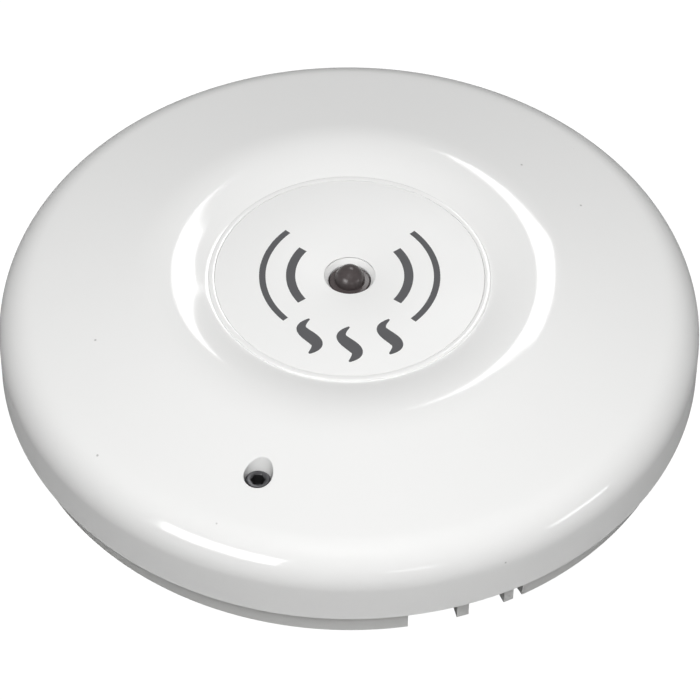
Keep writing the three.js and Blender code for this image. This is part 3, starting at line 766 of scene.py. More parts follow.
class SpotTree(Tree):
    """A copy of one template on every point of a piece."""

    def __init__(self) -> None:
        """Build the tree."""
        super().__init__("copy_on_every_spot", {"Template": "NodeSocketObject"})
        template = self.node("GeometryNodeObjectInfo", {"Object": self.source["Template"]})
        copies = self.node("GeometryNodeInstanceOnPoints", {
            "Points": self.source["Geometry"], "Instance": template.outputs["Geometry"]})
        self.end(copies.outputs[0])


class ScreenTree(Tree):
    """A round screen of crossing wires."""

    def __init__(self) -> None:
        """Build the tree: a bare cylinder's edges, each drawn as a thin wire."""
        super().__init__("round_wire_screen", {
            "Radius": "NodeSocketFloat", "Height": "NodeSocketFloat", "Centre": "NodeSocketVector",
            "Upright Wires": "NodeSocketInt", "Level Wires": "NodeSocketInt", "Wire Radius": "NodeSocketFloat"})
        wall = self.node("GeometryNodeMeshCylinder", {
            "Vertices": self.source["Upright Wires"], "Side Segments": self.source["Level Wires"],
            "Radius": self.source["Radius"], "Depth": self.source["Height"]}, fill_type="NONE")
        placed = self.node("GeometryNodeTransform", {
            "Geometry": wall.outputs["Mesh"], "Translation": self.source["Centre"]})
        lines = self.node("GeometryNodeMeshToCurve", {"Mesh": placed.outputs[0]})
        section = self.node("GeometryNodeCurvePrimitiveCircle", {
            "Resolution": 5, "Radius": self.source["Wire Radius"]})
        wires = self.node("GeometryNodeCurveToMesh", {
            "Curve": lines.outputs[0], "Profile Curve": section.outputs[0], "Fill Caps": True})
        self.end(wires.outputs[0])


class RimTree(Tree):
    """A round base whose rim has the same few openings in every quarter."""

    OPENINGS = 3

    def __init__(self) -> None:
        """Build the tree: cutters on a circle, taken out of the piece."""
        sockets = {"Groups": "NodeSocketInt", "Radius": "NodeSocketFloat", "Depth": "NodeSocketFloat",
                   "Low": "NodeSocketFloat", "Height": "NodeSocketFloat"}
        for i in range(self.OPENINGS):
            sockets[f"Middle {i + 1}"] = "NodeSocketFloat"
            sockets[f"Width {i + 1}"] = "NodeSocketFloat"
        super().__init__("notched_rim", sockets)
        cutters = self.node("GeometryNodeJoinGeometry")
        for i in range(self.OPENINGS):
            self.tree.links.new(self.cutters(i + 1), cutters.inputs[0])
        cut = self.node("GeometryNodeMeshBoolean", {"Mesh 1": self.source["Geometry"]},
                        operation="DIFFERENCE", solver="EXACT")
        real = self.node("GeometryNodeRealizeInstances", {"Geometry": cutters.outputs[0]})
        self.tree.links.new(real.outputs[0], cut.inputs["Mesh 2"])
        self.end(cut.outputs[0])

    def cutters(self, number: int) -> Socket:
        """Make one opening's cutters, one to each group.

        Args:
            number: which opening of the group.

        Returns:
            The cutters as instances.
        """
        size = self.node("ShaderNodeCombineXYZ", {
            0: self.source[f"Width {number}"], 1: self.source["Depth"], 2: self.source["Height"]})
        cube = self.node("GeometryNodeMeshCube", {"Size": size.outputs[0]})
        middle = self.number("ADD", self.source["Low"], self.number("DIVIDE", self.source["Height"], 2.0))
        back = self.number("MULTIPLY", self.source["Radius"], -1.0)
        place = self.node("ShaderNodeCombineXYZ", {1: back, 2: middle})
        placed = self.node("GeometryNodeTransform", {
            "Geometry": cube.outputs[0], "Translation": place.outputs[0]})
        spots = self.node("GeometryNodePoints", {"Count": self.source["Groups"]})
        index = self.node("GeometryNodeInputIndex").outputs[0]
        step = self.number("DIVIDE", 360.0, self.source["Groups"])
        azimuth = self.number("ADD", self.number("MULTIPLY", index, step), self.source[f"Middle {number}"])
        rotation = self.node("FunctionNodeAxisAngleToRotation", {
            "Axis": (0.0, 0.0, 1.0), "Angle": self.number("RADIANS", azimuth)})
        return self.node("GeometryNodeInstanceOnPoints", {
            "Points": spots.outputs[0], "Instance": placed.outputs[0],
            "Rotation": rotation.outputs[0]}).outputs[0]


@dataclass
class Trees:
    """The geometry trees, each built once."""

    ring: RingTree = field(default_factory=RingTree)
    row: RowTree = field(default_factory=RowTree)
    spot: SpotTree = field(default_factory=SpotTree)
    screen: ScreenTree = field(default_factory=ScreenTree)
    rim: RimTree = field(default_factory=RimTree)


# ---- cover


@dataclass
class Cover:
    """The one-piece domed cover: shoulder, cone, crest, dish, badge and the hole over the locking screw."""

    radius: float = 57.5
    wall: float = 1.6
    shoulder: float = 7.25
    shoulder_rise: float = 6.15
    crest_radius: float = 30.9
    apron_bends: tuple[Point, ...] = ((18.0, 6.0), (26.0, 11.5))
    dish_bends: tuple[Point, ...] = ((22.0, -10.0), (30.0, -14.5))
    badge_radius: float = 23.0
    badge_foot: float = 23.1
    badge_round: float = 0.3
    badge_rise: float = 0.3
    pocket_radius: float = 21.98
    pocket_depth: float = 0.35
    bore: float = 3.45
    bevel_radius: float = 4.15
    bevel_depth: float = 0.8
    screw_circle: float = 43.65
    screw_azimuth: float = -18.5
    hole_radius: float = 2.2
    hole_lean: float = 2.2
    hole_lean_from: float = 19.3
    hole_lean_height: float = 3.7
    mouth_round: float = 0.18
    guide_radius: float = 3.7
    guide_z: float = 15.9
    guide_root_z: float = 17.0
    hole_waist_z: float = 17.5
    peg_circle: float = 43.0
    peg_azimuths: tuple[float, ...] = (30.0, 150.0, 270.0)
    boss_radius: float = 3.8
    boss_bore: float = 2.4
    boss_z: float = 9.2
    boss_root_z: float = 14.0
    boss_end_z: float = 17.6
    inner_fillet: float = 0.4
    tube_chamfer: Point = (0.15, 0.2)
    apron_steps: tuple[int, ...] = (8, 10)
    dish_steps: tuple[int, ...] = (12, 4)
    patch_reach: float = 5.0
    segments: int = 360

    def __post_init__(self) -> None:
        """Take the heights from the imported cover."""
        room = Room.of("cover")
        self.lip_radius = room.high.x
        self.lip_z = room.low.z
        self.shoulder_z = self.lip_z + self.shoulder_rise
        self.crest_z = room.high.z
        self.slope = self.apron_bends[-1][1]

    def cone_height(self, r: float, offset: float = 0.0) -> float:
        """Height of the cone and of the long bend above it, or of a skin set in from them.

        Args:
            r: distance from the middle.
            offset: how far the skin is set in from the outside.

        Returns:
            The height at that distance.
        """
        tilt, lean = math.radians(self.slope), math.radians(self.apron_bends[0][1])
        first, curve = self.apron_bends[0][0], self.apron_bends[1][0]
        centre_r = self.crest_radius - (curve - first) * math.sin(lean)
        if r < centre_r + (curve - offset) * math.sin(tilt):
            centre_z = self.crest_z - first - (curve - first) * math.cos(lean)
            return centre_z + math.sqrt((curve - offset) ** 2 - (r - centre_r) ** 2)
        start_r = self.radius - self.shoulder + self.shoulder * math.sin(tilt)
        start_z = self.shoulder_z + self.shoulder * math.cos(tilt)
        return start_z + (start_r - r) * math.tan(tilt) - offset / math.cos(tilt)

    def skin(self, offset: float) -> list[Point]:
        """The skin from the lip to the foot of the badge.

        Args:
            offset: how far it is set in from the outside.

        Returns:
            Profile points, with the cone cut into short steps.
        """
        shoulder_r = self.radius - self.shoulder
        turn = arc((shoulder_r, self.shoulder_z), self.shoulder - offset, 0, 90 - self.slope, 26)
        apron = list(reversed(self.bends(self.apron_bends, offset, self.apron_steps)))
        dish = self.bends(self.dish_bends, offset, self.dish_steps)
        fall = math.tan(math.radians(-self.dish_bends[-1][1]))
        foot = (self.badge_foot, dish[-1][1] - (dish[-1][0] - self.badge_foot) * fall)
        return [
            *line((self.lip_radius - offset, self.lip_z), turn[0], 5)[:-1],
            *turn,
            *line(turn[-1], apron[0], 14)[1:-1],
            *apron,
            *dish[1:],
            *line(dish[-1], foot, 4)[1:],
        ]

    def bends(self, bends: Sequence[Point], offset: float, steps: Sequence[int]) -> list[Point]:
        """Arcs that follow on from the crest without a kink.

        Args:
            bends: each arc's radius and the tilt of the skin at its end, in degrees.
            offset: how far the skin is set in from the outside.
            steps: how many steps each arc is drawn in.

        Returns:
            Profile points from the crest outwards or inwards.
        """
        points: list[Point] = []
        centre = Vector((self.crest_radius, self.crest_z))
        curve, tilt = 0.0, 0.0
        for (next_curve, next_tilt), count in zip(bends, steps):
            lean = math.radians(tilt)
            centre -= Vector((math.sin(lean), math.cos(lean))) * (next_curve - curve)
            bent = arc(tuple(centre), next_curve - offset, 90 - tilt, 90 - next_tilt, count)
            points += bent[min(1, len(points)):]
            curve, tilt = next_curve, next_tilt
        return points

    @property
    def foot_z(self) -> float:
        """Height of the foot of the badge."""
        return self.skin(0.0)[-1][1]

    @property
    def badge_z(self) -> float:
        """Height of the badge's top."""
        return self.foot_z + self.badge_rise

    def middle(self) -> list[Point]:
        """The profile from the badge's edge over the label pocket and down the lens bore to the underside."""
        edge = (self.badge_radius - self.badge_round, self.badge_z - self.badge_round)
        pocket_z = self.badge_z - self.pocket_depth
        under = self.skin(self.wall)[-1]
        return [
            *arc(edge, self.badge_round, 0, 90, 6),
            *rounded([
                (self.pocket_radius + 0.5, self.badge_z), (self.pocket_radius, self.badge_z),
                (self.pocket_radius, pocket_z), (self.bevel_radius, pocket_z),
                (self.bore, pocket_z - self.bevel_depth), (self.bore, under[1]),
                (self.bore + 3, under[1])], 0.06, 2),
        ]

    def window(self, rings: list[list[int]], reach: Sequence[int], azimuth: float) -> tuple[set, list[int]]:
        """Pick the patch of faces round a feature on the cone.

        Args:
            rings: all rings of the skin.
            reach: the first and last ring of the patch.
            azimuth: the feature's azimuth.

        Returns:
            The patch's cells by ring and segment, and the numbers of the points round it.
        """
        step = 360 / self.segments
        middle = round((azimuth - 90) / step)
        half = round(math.degrees(self.patch_reach / self.screw_circle) / step)
        columns = [(middle + k) % self.segments for k in range(-half, half + 1)]
        first, last = reach
        cells = {(i, j) for i in range(first, last) for j in columns[:-1]}
        around = [rings[first][j] for j in columns] + [rings[i][columns[-1]] for i in range(first + 1, last)]
        around += [rings[last][j] for j in reversed(columns)]
        around += [rings[i][columns[0]] for i in range(last - 1, first, -1)]
        return cells, around

    def draw_in(self, shell: Shell, around: list[int], centre: Point, outline: Callable[[float, float], Point],
                heights: Sequence[Point], offset: float, fillet: float) -> list[int]:
        """Draw the skin in from a patch's border to a feature's edge, then along its wall.

        Args:
            shell: the mesh.
            around: the patch's border.
            centre: radius and azimuth of the feature.
            outline: gives the wall at an angle and a height, along and across the radius.
            heights: the wall's growth and height at each further ring.
            offset: which skin the patch lies on.
            fillet: the rounding between skin and wall.

        Returns:
            The last ring.
        """
        azimuth = math.radians(centre[1])
        out = Vector((math.sin(azimuth), -math.cos(azimuth)))
        across = Vector((math.cos(azimuth), math.sin(azimuth)))
        middle = out * centre[0]
        starts = [Vector(shell.points[i][:2]) for i in around]
        angles = [math.atan2((p - middle).dot(across), (p - middle).dot(out)) for p in starts]
        aways = [out * math.cos(a) + across * math.sin(a) for a in angles]

        def wall(angle: float, z: float) -> Vector:
            """A point of the feature's wall in plan."""
            u, v = outline(angle, z)
            return middle + out * u + across * v

        def height(p: Vector) -> float:
            """The skin's height over a point in plan."""
            return self.cone_height(p.length, offset)

        edges = [wall(angle, height(wall(angle, height(middle)))) for angle in angles]
        loops = []
        for blend in (0.2, 0.4, 0.6, 0.8, 1.0):
            spots = [p.lerp(edge + away * fillet, blend) for p, edge, away in zip(starts, edges, aways)]
            loops.append([(p.x, p.y, height(p)) for p in spots])
        for turn in (18, 36, 54, 72, 90):
            lean = math.radians(turn)
            grown, drop = fillet * (1 - math.sin(lean)), fillet * (1 - math.cos(lean))
            spots = [edge + away * grown for edge, away in zip(edges, aways)]
            loops.append([(p.x, p.y, height(p) - drop) for p in spots])
        for grown, z in heights:
            spots = [wall(angle, z) + away * grown for angle, away in zip(angles, aways)]
            loops.append([(p.x, p.y, z) for p in spots])
        ring = around
        for loop in loops:
            fresh = shell.ring(loop)
            shell.bridge(ring, fresh)
            ring = fresh
        return ring

    def mouth(self, angle: float, z: float) -> Point:
        """The wall of the screw hole: round below, leaning towards the middle of the cover above.

        Args:
            angle: direction from the hole's axis, in radians, with 0 away from the cover's middle.
            z: height.

        Returns:
            The wall's place along and across the radius.
        """
        lean = self.hole_lean * max(0.0, z - self.hole_lean_from) / self.hole_lean_height
        u, v = self.hole_radius * math.cos(angle), self.hole_radius * math.sin(angle)
        return (u + min(0.0, math.cos(angle)) * lean, v)

    def draw(self) -> Piece:
        """Draw the whole closed shell."""
        outer, inner = self.skin(0.0), list(reversed(self.skin(self.wall)))
        profile = [*outer, *self.middle(), *inner]
        shell = Shell()
        rings = []
        for r, z in profile:
            turns = [2 * math.pi * j / self.segments for j in range(self.segments)]
            rings.append(shell.ring([(r * math.cos(t), r * math.sin(t), z) for t in turns]))

        def reach(circle: float, inside: bool) -> tuple[int, int]:
            """The first and last ring of a patch round a circle, on the inside or the outside skin."""
            picked = [i for i, (r, z) in enumerate(outer) if abs(r - circle) < self.patch_reach
                      and z > self.shoulder_z]
            last = len(profile) - 1
            return (last - picked[-1], last - picked[0]) if inside else (picked[0], picked[-1])

        hole_cells, hole_edge = self.window(rings, reach(self.screw_circle, False), self.screw_azimuth)
        guide_cells, guide_edge = self.window(rings, reach(self.screw_circle, True), self.screw_azimuth)
        skipped = hole_cells | guide_cells
        bosses = []
        for azimuth in self.peg_azimuths:
            cells, edge = self.window(rings, reach(self.peg_circle, True), azimuth)
            skipped |= cells
            bosses.append((edge, azimuth))
        for i, low in enumerate(rings):
            high = rings[(i + 1) % len(rings)]
            for j in range(self.segments):
                if (i, j) not in skipped:
                    k = (j + 1) % self.segments
                    shell.faces.append((low[j], low[k], high[k], high[j]))
        here = (self.screw_circle, self.screw_azimuth)
        cut, rise = self.tube_chamfer
        walls = [(0.0, self.hole_lean_from), (0.0, self.hole_waist_z), (0.0, self.guide_z + rise),
                 (cut, self.guide_z)]
        inside = self.draw_in(shell, hole_edge, here, self.mouth, walls, 0.0, self.mouth_round)
        tube = self.round_wall(self.guide_radius)
        outside = self.draw_in(shell, guide_edge, here, tube, [
            (0.0, self.guide_root_z), (0.0, self.guide_z + rise), (-cut, self.guide_z)],
            self.wall, self.inner_fillet)
        count = len(inside)
        turned_back = [outside[-i % count] for i in range(count)]
        best = min(range(count), key=lambda s: sum(
            math.dist(shell.points[inside[i]], shell.points[turned_back[(i + s) % count]])
            for i in range(0, count, 7)))
        shell.bridge(inside, [turned_back[(i + best) % count] for i in range(count)])
        for edge, azimuth in bosses:
            post, bored = self.round_wall(self.boss_radius), self.boss_bore - self.boss_radius
            last = self.draw_in(shell, edge, (self.peg_circle, azimuth), post, [
                (0.0, self.boss_root_z), (0.0, self.boss_z + rise), (-cut, self.boss_z),
                (bored + cut, self.boss_z), (bored, self.boss_z + rise), (bored, self.boss_end_z)],
                self.wall, self.inner_fillet)
            shell.cap(last)
        return shell.object("glossy_cover")

    @staticmethod
    def round_wall(radius: float) -> Callable[[float, float], Point]:
        """An upright round wall, as draw_in wants it."""
        return lambda angle, z: (radius * math.cos(angle), radius * math.sin(angle))

    def build(self) -> None:
        """Build and dress the cover."""
        mount(self.draw(), Body.COVER, COVER_ABS, Shading.SOFT, "cover")


# ---- label


class Mark(Enum):
    """The strokes printed on the label."""

    WAVE = "wave"
    WISP = "wisp"


@dataclass
class Label:
    """The round centre label and the plain grey mark printed on it."""

    edge_round: float = 0.07
    reach: float = 21.93
    bore: float = 4.15
    steps: int = 48
    ink_thickness: float = 0.02
    wave_radii: tuple[float, ...] = (9.6, 14.2)
    wave_widths: tuple[float, ...] = (1.5, 1.05)
    wave_spans: tuple[float, ...] = (74.0, 88.0)
    wisp_width: float = 2.3
    wisp_places: tuple[Point, ...] = ((-6.4, -13.5), (0.0, -15.2), (6.4, -13.5))
    wisp_height: float = 7.5
    wisp_sway: float = 1.25
    wisp_tip: float = 0.25
    wisp_swell: float = 0.8
    wisp_taper: float = 0.35

    def __post_init__(self) -> None:
        """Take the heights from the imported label."""
        room = Room.of("centre_label")
        self.low, self.high = room.low.z, room.high.z

    def film(self) -> Piece:
        """Draw the label's film with rounded edges."""
        shell = Shell()
        corners = [
            (self.reach - 3, self.low), (self.reach, self.low), (self.reach, self.high),
            (self.bore, self.high), (self.bore, self.low), (self.reach - 3, self.low)]
        shell.turned(rounded(corners, self.edge_round), FINE)
        return shell.object("label_film")

    def stroke(self, kind: Mark, number: int, side: float) -> tuple[list[Point], list[float]]:
        """One stroke's middle line and its width along the way.

        Args:
            kind: a curved wave beside the lens or a wisp of smoke below it.
            number: which of its kind.
            side: -1 for the left, 1 for the right.

        Returns:
            The line's points and widths.
        """
        count = self.steps
        if kind is Mark.WAVE:
            span = self.wave_spans[number]
            turns = [math.radians(span * (i / count - 0.5)) for i in range(count + 1)]
            r = self.wave_radii[number]
            width = self.wave_widths[number]
            return [(side * r * math.cos(t), r * math.sin(t)) for t in turns], [width] * (count + 1)
        x, y = self.wisp_places[number]
        shares = [i / count for i in range(count + 1)]
        line_points = [(x + self.wisp_sway * math.sin(2 * math.pi * s), y + self.wisp_height * (s - 0.5))
                       for s in shares]
        widths = [self.wisp_tip + self.wisp_width * math.sin(math.pi * s) ** self.wisp_swell
                  * (1 - self.wisp_taper * s) for s in shares]
        return line_points, widths

    def ink(self) -> Piece:
        """Draw every stroke as a thin raised film of ink."""
        shell = Shell()
        strokes = [self.stroke(Mark.WAVE, n, side) for n in range(len(self.wave_radii)) for side in (-1.0, 1.0)]
        strokes += [self.stroke(Mark.WISP, n, 1.0) for n in range(len(self.wisp_places))]
        low, high = self.high - self.ink_thickness, self.high + self.ink_thickness
        for points, widths in strokes:
            left, right = [], []
            for i, (p, width) in enumerate(zip(points, widths)):
                before, after = Vector(points[max(0, i - 1)]), Vector(points[min(len(points) - 1, i + 1)])
                along = (after - before).normalized()
                away = Vector((-along.y, along.x)) * width / 2
                left.append((p[0] + away.x, p[1] + away.y))
                right.append((p[0] - away.x, p[1] - away.y))
            rows = [shell.ring([(x, y, z) for x, y in side]) for side, z in (
                (left, low), (left, high), (right, high), (right, low))]
            for one, other in zip(rows, rows[1:] + rows[:1]):
                for i in range(len(one) - 1):
                    shell.faces.append((one[i], one[i + 1], other[i + 1], other[i]))
            shell.faces.append(tuple(row[0] for row in rows))
            shell.faces.append(tuple(row[-1] for row in rows))
        return shell.object("label_print")

    def build(self) -> None:
        """Build and dress the label."""
        mount(self.film(), Body.COVER, LABEL_FILM, Shading.SOFT, "centre_label")
        mount(self.ink(), Body.COVER, PRINT_INK, Shading.CREASED)


# ---- locking screw


@dataclass
class LockingScrew:
    """The hex-socket grub screw, its brass insert and the nylon pad at its tip."""

    pitch: float = 0.7
    thread_depth: float = 0.38
    chamfer: float = 0.34
    across_flats: float = 2.0
    socket_depth: float = 2.4
    socket_lead: float = 0.16
    steps_per_turn: int = 8
    segments: int = 48
    tip_radius: float = 0.9
    tip_height: float = 0.9
    tip_drop: float = 0.6
    insert_bore: float = 2.3
    insert_ribs: int = 9
    rib_depth: float = 0.22
    rib_root: float = 0.08
    rib_rise: float = 0.2
    pad_round: float = 0.25

    def screw(self) -> Piece:
        """Draw the threaded body with its chamfered socket as one closed mesh."""
        room = Room.of("locking_screw")
        cx, cy = room.centre.x, room.centre.y
        radius = room.radius
        low, top = room.low.z, room.high.z
        shell = Shell()
        count = self.segments
        turns = [2 * math.pi * i / count for i in range(count)]
        levels = round((top - low) / self.pitch * self.steps_per_turn)
        rings = [[(self.tip_radius, low)] * count]
        for k in range(levels + 1):
            z = low + (top - low) * k / levels
            ring = []
            for i in range(count):
                phase = (z / self.pitch + i / count) % 1.0
                groove = self.thread_depth * (1 - abs(2 * phase - 1))
                end = min(1.0, (top - self.chamfer - z) / self.pitch) if z < top - self.chamfer else 0.0
                start = self.tip_drop * max(0.0, 1 - (z - low) / self.tip_height)
                tip = max(0.0, z - (top - self.chamfer))
                ring.append((radius - groove * max(0.0, end) - start - tip, z))
            rings.append(ring)
        loops = [shell.ring([(cx + r * math.cos(t), cy + r * math.sin(t), z)
                             for (r, z), t in zip(ring, turns)]) for ring in rings]
        corner = self.across_flats / 2

        def hexagon(size: float, z: float) -> list[int]:
            """Add a six-sided ring of half that width across its flats."""
            out = []
            for t in turns:
                off = (t % (math.pi / 3)) - math.pi / 6
                r = size / math.cos(off)
                out.append((cx + r * math.cos(t), cy + r * math.sin(t), z))
            return shell.ring(out)

        def circle(size: float, z: float) -> list[int]:
            """Add a round ring of that radius."""
            return shell.ring([(cx + size * math.cos(t), cy + size * math.sin(t), z) for t in turns])

        rim = corner / math.cos(math.pi / 6) + 0.06
        loops += [circle(radius - self.chamfer - 0.05, top), circle(rim + 0.05, top), circle(rim, top - 0.02),
                  hexagon(corner, top - self.socket_lead), hexagon(corner, top - self.socket_lead - 0.05),
                  hexagon(corner, top - self.socket_depth), circle(0.5, top - self.socket_depth - 0.25)]
        for one, other in zip(loops, loops[1:]):
            shell.bridge(one, other)
        shell.cap(loops[0])
        shell.cap(loops[-1])
        return shell.object("socket_screw")

    def build(self) -> None:
        """Build and dress the screw, its insert and its pad."""
        mount(self.screw(), Body.SCREW, BLACK_OXIDE, Shading.CREASED, "locking_screw")
        room = Room.of("threaded_insert")
        bore, count = self.insert_bore, self.insert_ribs
        middle = (room.centre.x, room.centre.y)
        ribs = []
        for i in range(count):
            low = room.low.z + (room.high.z - room.low.z) * i / count
            high = room.low.z + (room.high.z - room.low.z) * (i + 1) / count
            ribs += [(room.radius - self.rib_depth, low + self.rib_root), (room.radius, low + self.rib_rise),
                     (room.radius, high - self.rib_rise), (room.radius - self.rib_depth, high - self.rib_root)]
        shell = Shell()
        corners = [(bore, room.low.z), *ribs, (bore, room.high.z), (bore, room.low.z)]
        shell.turned(corners, SMALL, middle)
        mount(shell.object("brass_insert"), Body.HEAD, BRASS, Shading.CREASED, "threaded_insert")
        pad = Room.of("screw_pressure_pad")
        shell = Shell()
        profile = rounded([(0.0, pad.low.z), (pad.radius, pad.low.z), (pad.radius, pad.high.z),
                           (0.0, pad.high.z)], self.pad_round)
        shell.turned(profile, SMALL, (pad.centre.x, pad.centre.y))
        mount(shell.object("nylon_pad"), Body.PAD, NYLON, Shading.SOFT, "screw_pressure_pad")


# ---- indicator


@dataclass
class Indicator:
    """The smoked light pipe in the middle and the lamp under it."""

    dome_radius: float = 2.42
    flange_radius: float = 3.3
    flange_low: float = 19.4
    flange_high: float = 20.3
    stem_radius: float = 2.3

    def build(self) -> None:
        """Build and dress the light pipe and its lamp."""
        room = Room.of("indicator_lens")
        dome_z = room.high.z - self.dome_radius
        corners = [
            (self.stem_radius, room.low.z), (self.stem_radius, self.flange_low - 1),
            (self.flange_radius, self.flange_low), (self.flange_radius, self.flange_high),
            (self.dome_radius, self.flange_high), (self.dome_radius, dome_z - 0.2)]
        profile = [(0.0, room.low.z), (1.0, room.low.z), *rounded(corners, 0.16, 4)[1:],
                   *arc((0.0, dome_z), self.dome_radius, 0, 90, 20)[:-1], (0.0, room.high.z)]
        shell = Shell()
        shell.turned(profile, MEDIUM)
        mount(shell.object("light_pipe"), Body.HEAD, SMOKED_ACRYLIC, Shading.SOFT, "indicator_lens")

        lamp = Room.of("indicator_led")
        foot = lamp.radius
        bulb = foot - 0.25
        shell = Shell()
        shell.turned([(0.0, lamp.low.z), *rounded([
            (foot - 0.4, lamp.low.z), (foot, lamp.low.z), (foot, lamp.low.z + 0.45), (bulb, lamp.low.z + 0.45),
            (bulb, lamp.high.z - bulb)], 0.08), *arc((0.0, lamp.high.z - bulb), bulb, 0, 90, 12)[1:-1],
            (0.0, lamp.high.z)], SMALL)
        mount(shell.object("lamp"), Body.HEAD, CLEAR_EPOXY, Shading.SOFT, "indicator_led")


# ---- base


@dataclass
class MountingBase:
    """The flat base on the ceiling: plate, notched rim, bayonet hooks and fixing slots."""

    trees: Trees
    rim_wall: float = 1.8
    rim_top: float = 8.2
    plate: float = 2.0
    entry: float = 9.0
    edge: float = 0.22
    openings: tuple[Point, ...] = ((9.7, 17.8), (19.8, 26.0), (27.7, 29.4))
    groups: int = 4
    opening_top: float = 5.7
    notch_radius: float = 50.0
    cut: float = 1.0
    slot_radius: float = 2.25
    slot_ends: Point = (26.0, 37.0)
    pad_width: float = 2.0
    pad_top: float = 2.6
    hooks: int = 3
    hook_first: float = 60.0
    hook_span: float = 14.0
    hook_radii: tuple[float, ...] = (47.9, 49.5, 51.3)
    hook_lip: float = 8.7
    bore_circle: float = 36.0
    bore_radius: float = 1.9
    bore_floor: float = 0.6

    def __post_init__(self) -> None:
        """Take the base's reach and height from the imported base."""
        room = Room.of("mounting_base")
        self.radius, self.top = room.radius, room.high.z

    def body(self) -> Piece:
        """Turn the plate and its rim."""
        inner, seam = self.radius - self.rim_wall, (self.entry + self.radius) / 2
        corners = [(seam, 0.0), (self.radius, 0.0), (self.radius, self.rim_top), (inner, self.rim_top),
                   (inner, self.plate), (self.entry, self.plate), (self.entry, 0.0), (seam, 0.0)]
        shell = Shell()
        shell.turned(rounded(corners, self.edge), FINE)
        return shell.object("mounting_base")

    def hook(self) -> Piece:
        """Draw one hook at the front, then repeat it round the base."""
        lip, inside, outside = self.hook_radii
        foot = self.plate - 0.5
        section = rounded_loop([
            (outside, foot), (outside, self.top), (lip, self.top), (lip, self.hook_lip),
            (inside, self.hook_lip), (inside, foot)], self.edge)
        shell = Shell()
        shell.sweep(section, (-self.hook_span / 2, self.hook_span / 2))
        return self.trees.ring.apply(shell.object("hooks"), BASE_ABS, Count=self.hooks, First=self.hook_first,
                                     Step=360 / self.hooks)

    def slots(self, radius: float, low: float, high: float) -> Piece:
        """Draw the two fixing slots, or the raised pads round them, one on each side.

        Args:
            radius: half the width.
            low: height of the underside.
            high: height of the top.

        Returns:
            Both shapes as one object.
        """
        shell = Shell()
        near, far = self.slot_ends
        shell.prism(arc((0.0, -near), radius, 0, 180, 16) + arc((0.0, -far), radius, 180, 360, 16), low, high)
        return self.trees.ring.apply(shell.object("slots"), BASE_ABS, Count=2, First=90.0, Step=180.0)

    def bores(self) -> Piece:
        """Draw the four blind bores under the terminal screws."""
        shell = Shell()
        high = self.plate + self.cut
        shell.turned([(0.0, self.bore_floor), (self.bore_radius, self.bore_floor), (self.bore_radius, high),
                      (0.0, high)], SMALL, (0.0, -self.bore_circle))
        return self.trees.ring.apply(shell.object("bores"), BASE_ABS, Count=4, First=45.0, Step=90.0)

    def build(self) -> None:
        """Build and dress the base."""
        base = combine(self.body(), self.hook(), "UNION")
        pads = self.slots(self.slot_radius + self.pad_width, self.plate / 2, self.pad_top)
        base = combine(base, pads, "UNION")
        base = combine(base, self.slots(self.slot_radius, -self.cut, self.pad_top + self.cut), "DIFFERENCE")
        base = combine(base, self.bores(), "DIFFERENCE")
        depth = self.radius + self.cut - self.notch_radius
        values = {"Groups": self.groups, "Radius": (self.notch_radius + depth / 2) * MM, "Depth": depth * MM,
                  "Low": -self.cut * MM, "Height": (self.opening_top + self.cut) * MM}
        for i, (start, end) in enumerate(self.openings, 1):
            values[f"Middle_{i}"] = (start + end) / 2
            values[f"Width_{i}"] = 2 * self.radius * math.sin(math.radians((end - start) / 2)) * MM
        self.trees.rim.apply(base, BASE_ABS, **values)
        mount(soften(base, 0.12), Body.BASE, BASE_ABS, Shading.SOFT, "mounting_base")


@dataclass
class Grommet:
    """The rubber ring that lines the cable entry, with two soft sealing beads in its bore."""

    bore: float = 6.2
    neck: float = 8.7
    flange_z: float = 2.3
    edge: float = 0.3
    bead: float = 0.35

    def build(self) -> None:
        """Build and dress the grommet."""
        room = Room.of("cable_grommet")
        low, high = room.low.z, room.high.z
        rise = (high - low) / 5
        bore = [(self.bore + self.bead * (i % 2), high - rise * i) for i in range(1, 5)]
        corners = [(self.neck - 1, low), (self.neck, low), (self.neck, self.flange_z),
                   (room.radius, self.flange_z), (room.radius, high), (self.bore, high), *bore,
                   (self.bore, low), (self.neck - 1, low)]
        shell = Shell()
        shell.turned(rounded(corners, self.edge), MEDIUM)
        mount(shell.object("cable_grommet"), Body.BASE, GROMMET_RUBBER, Shading.SOFT, "cable_grommet")


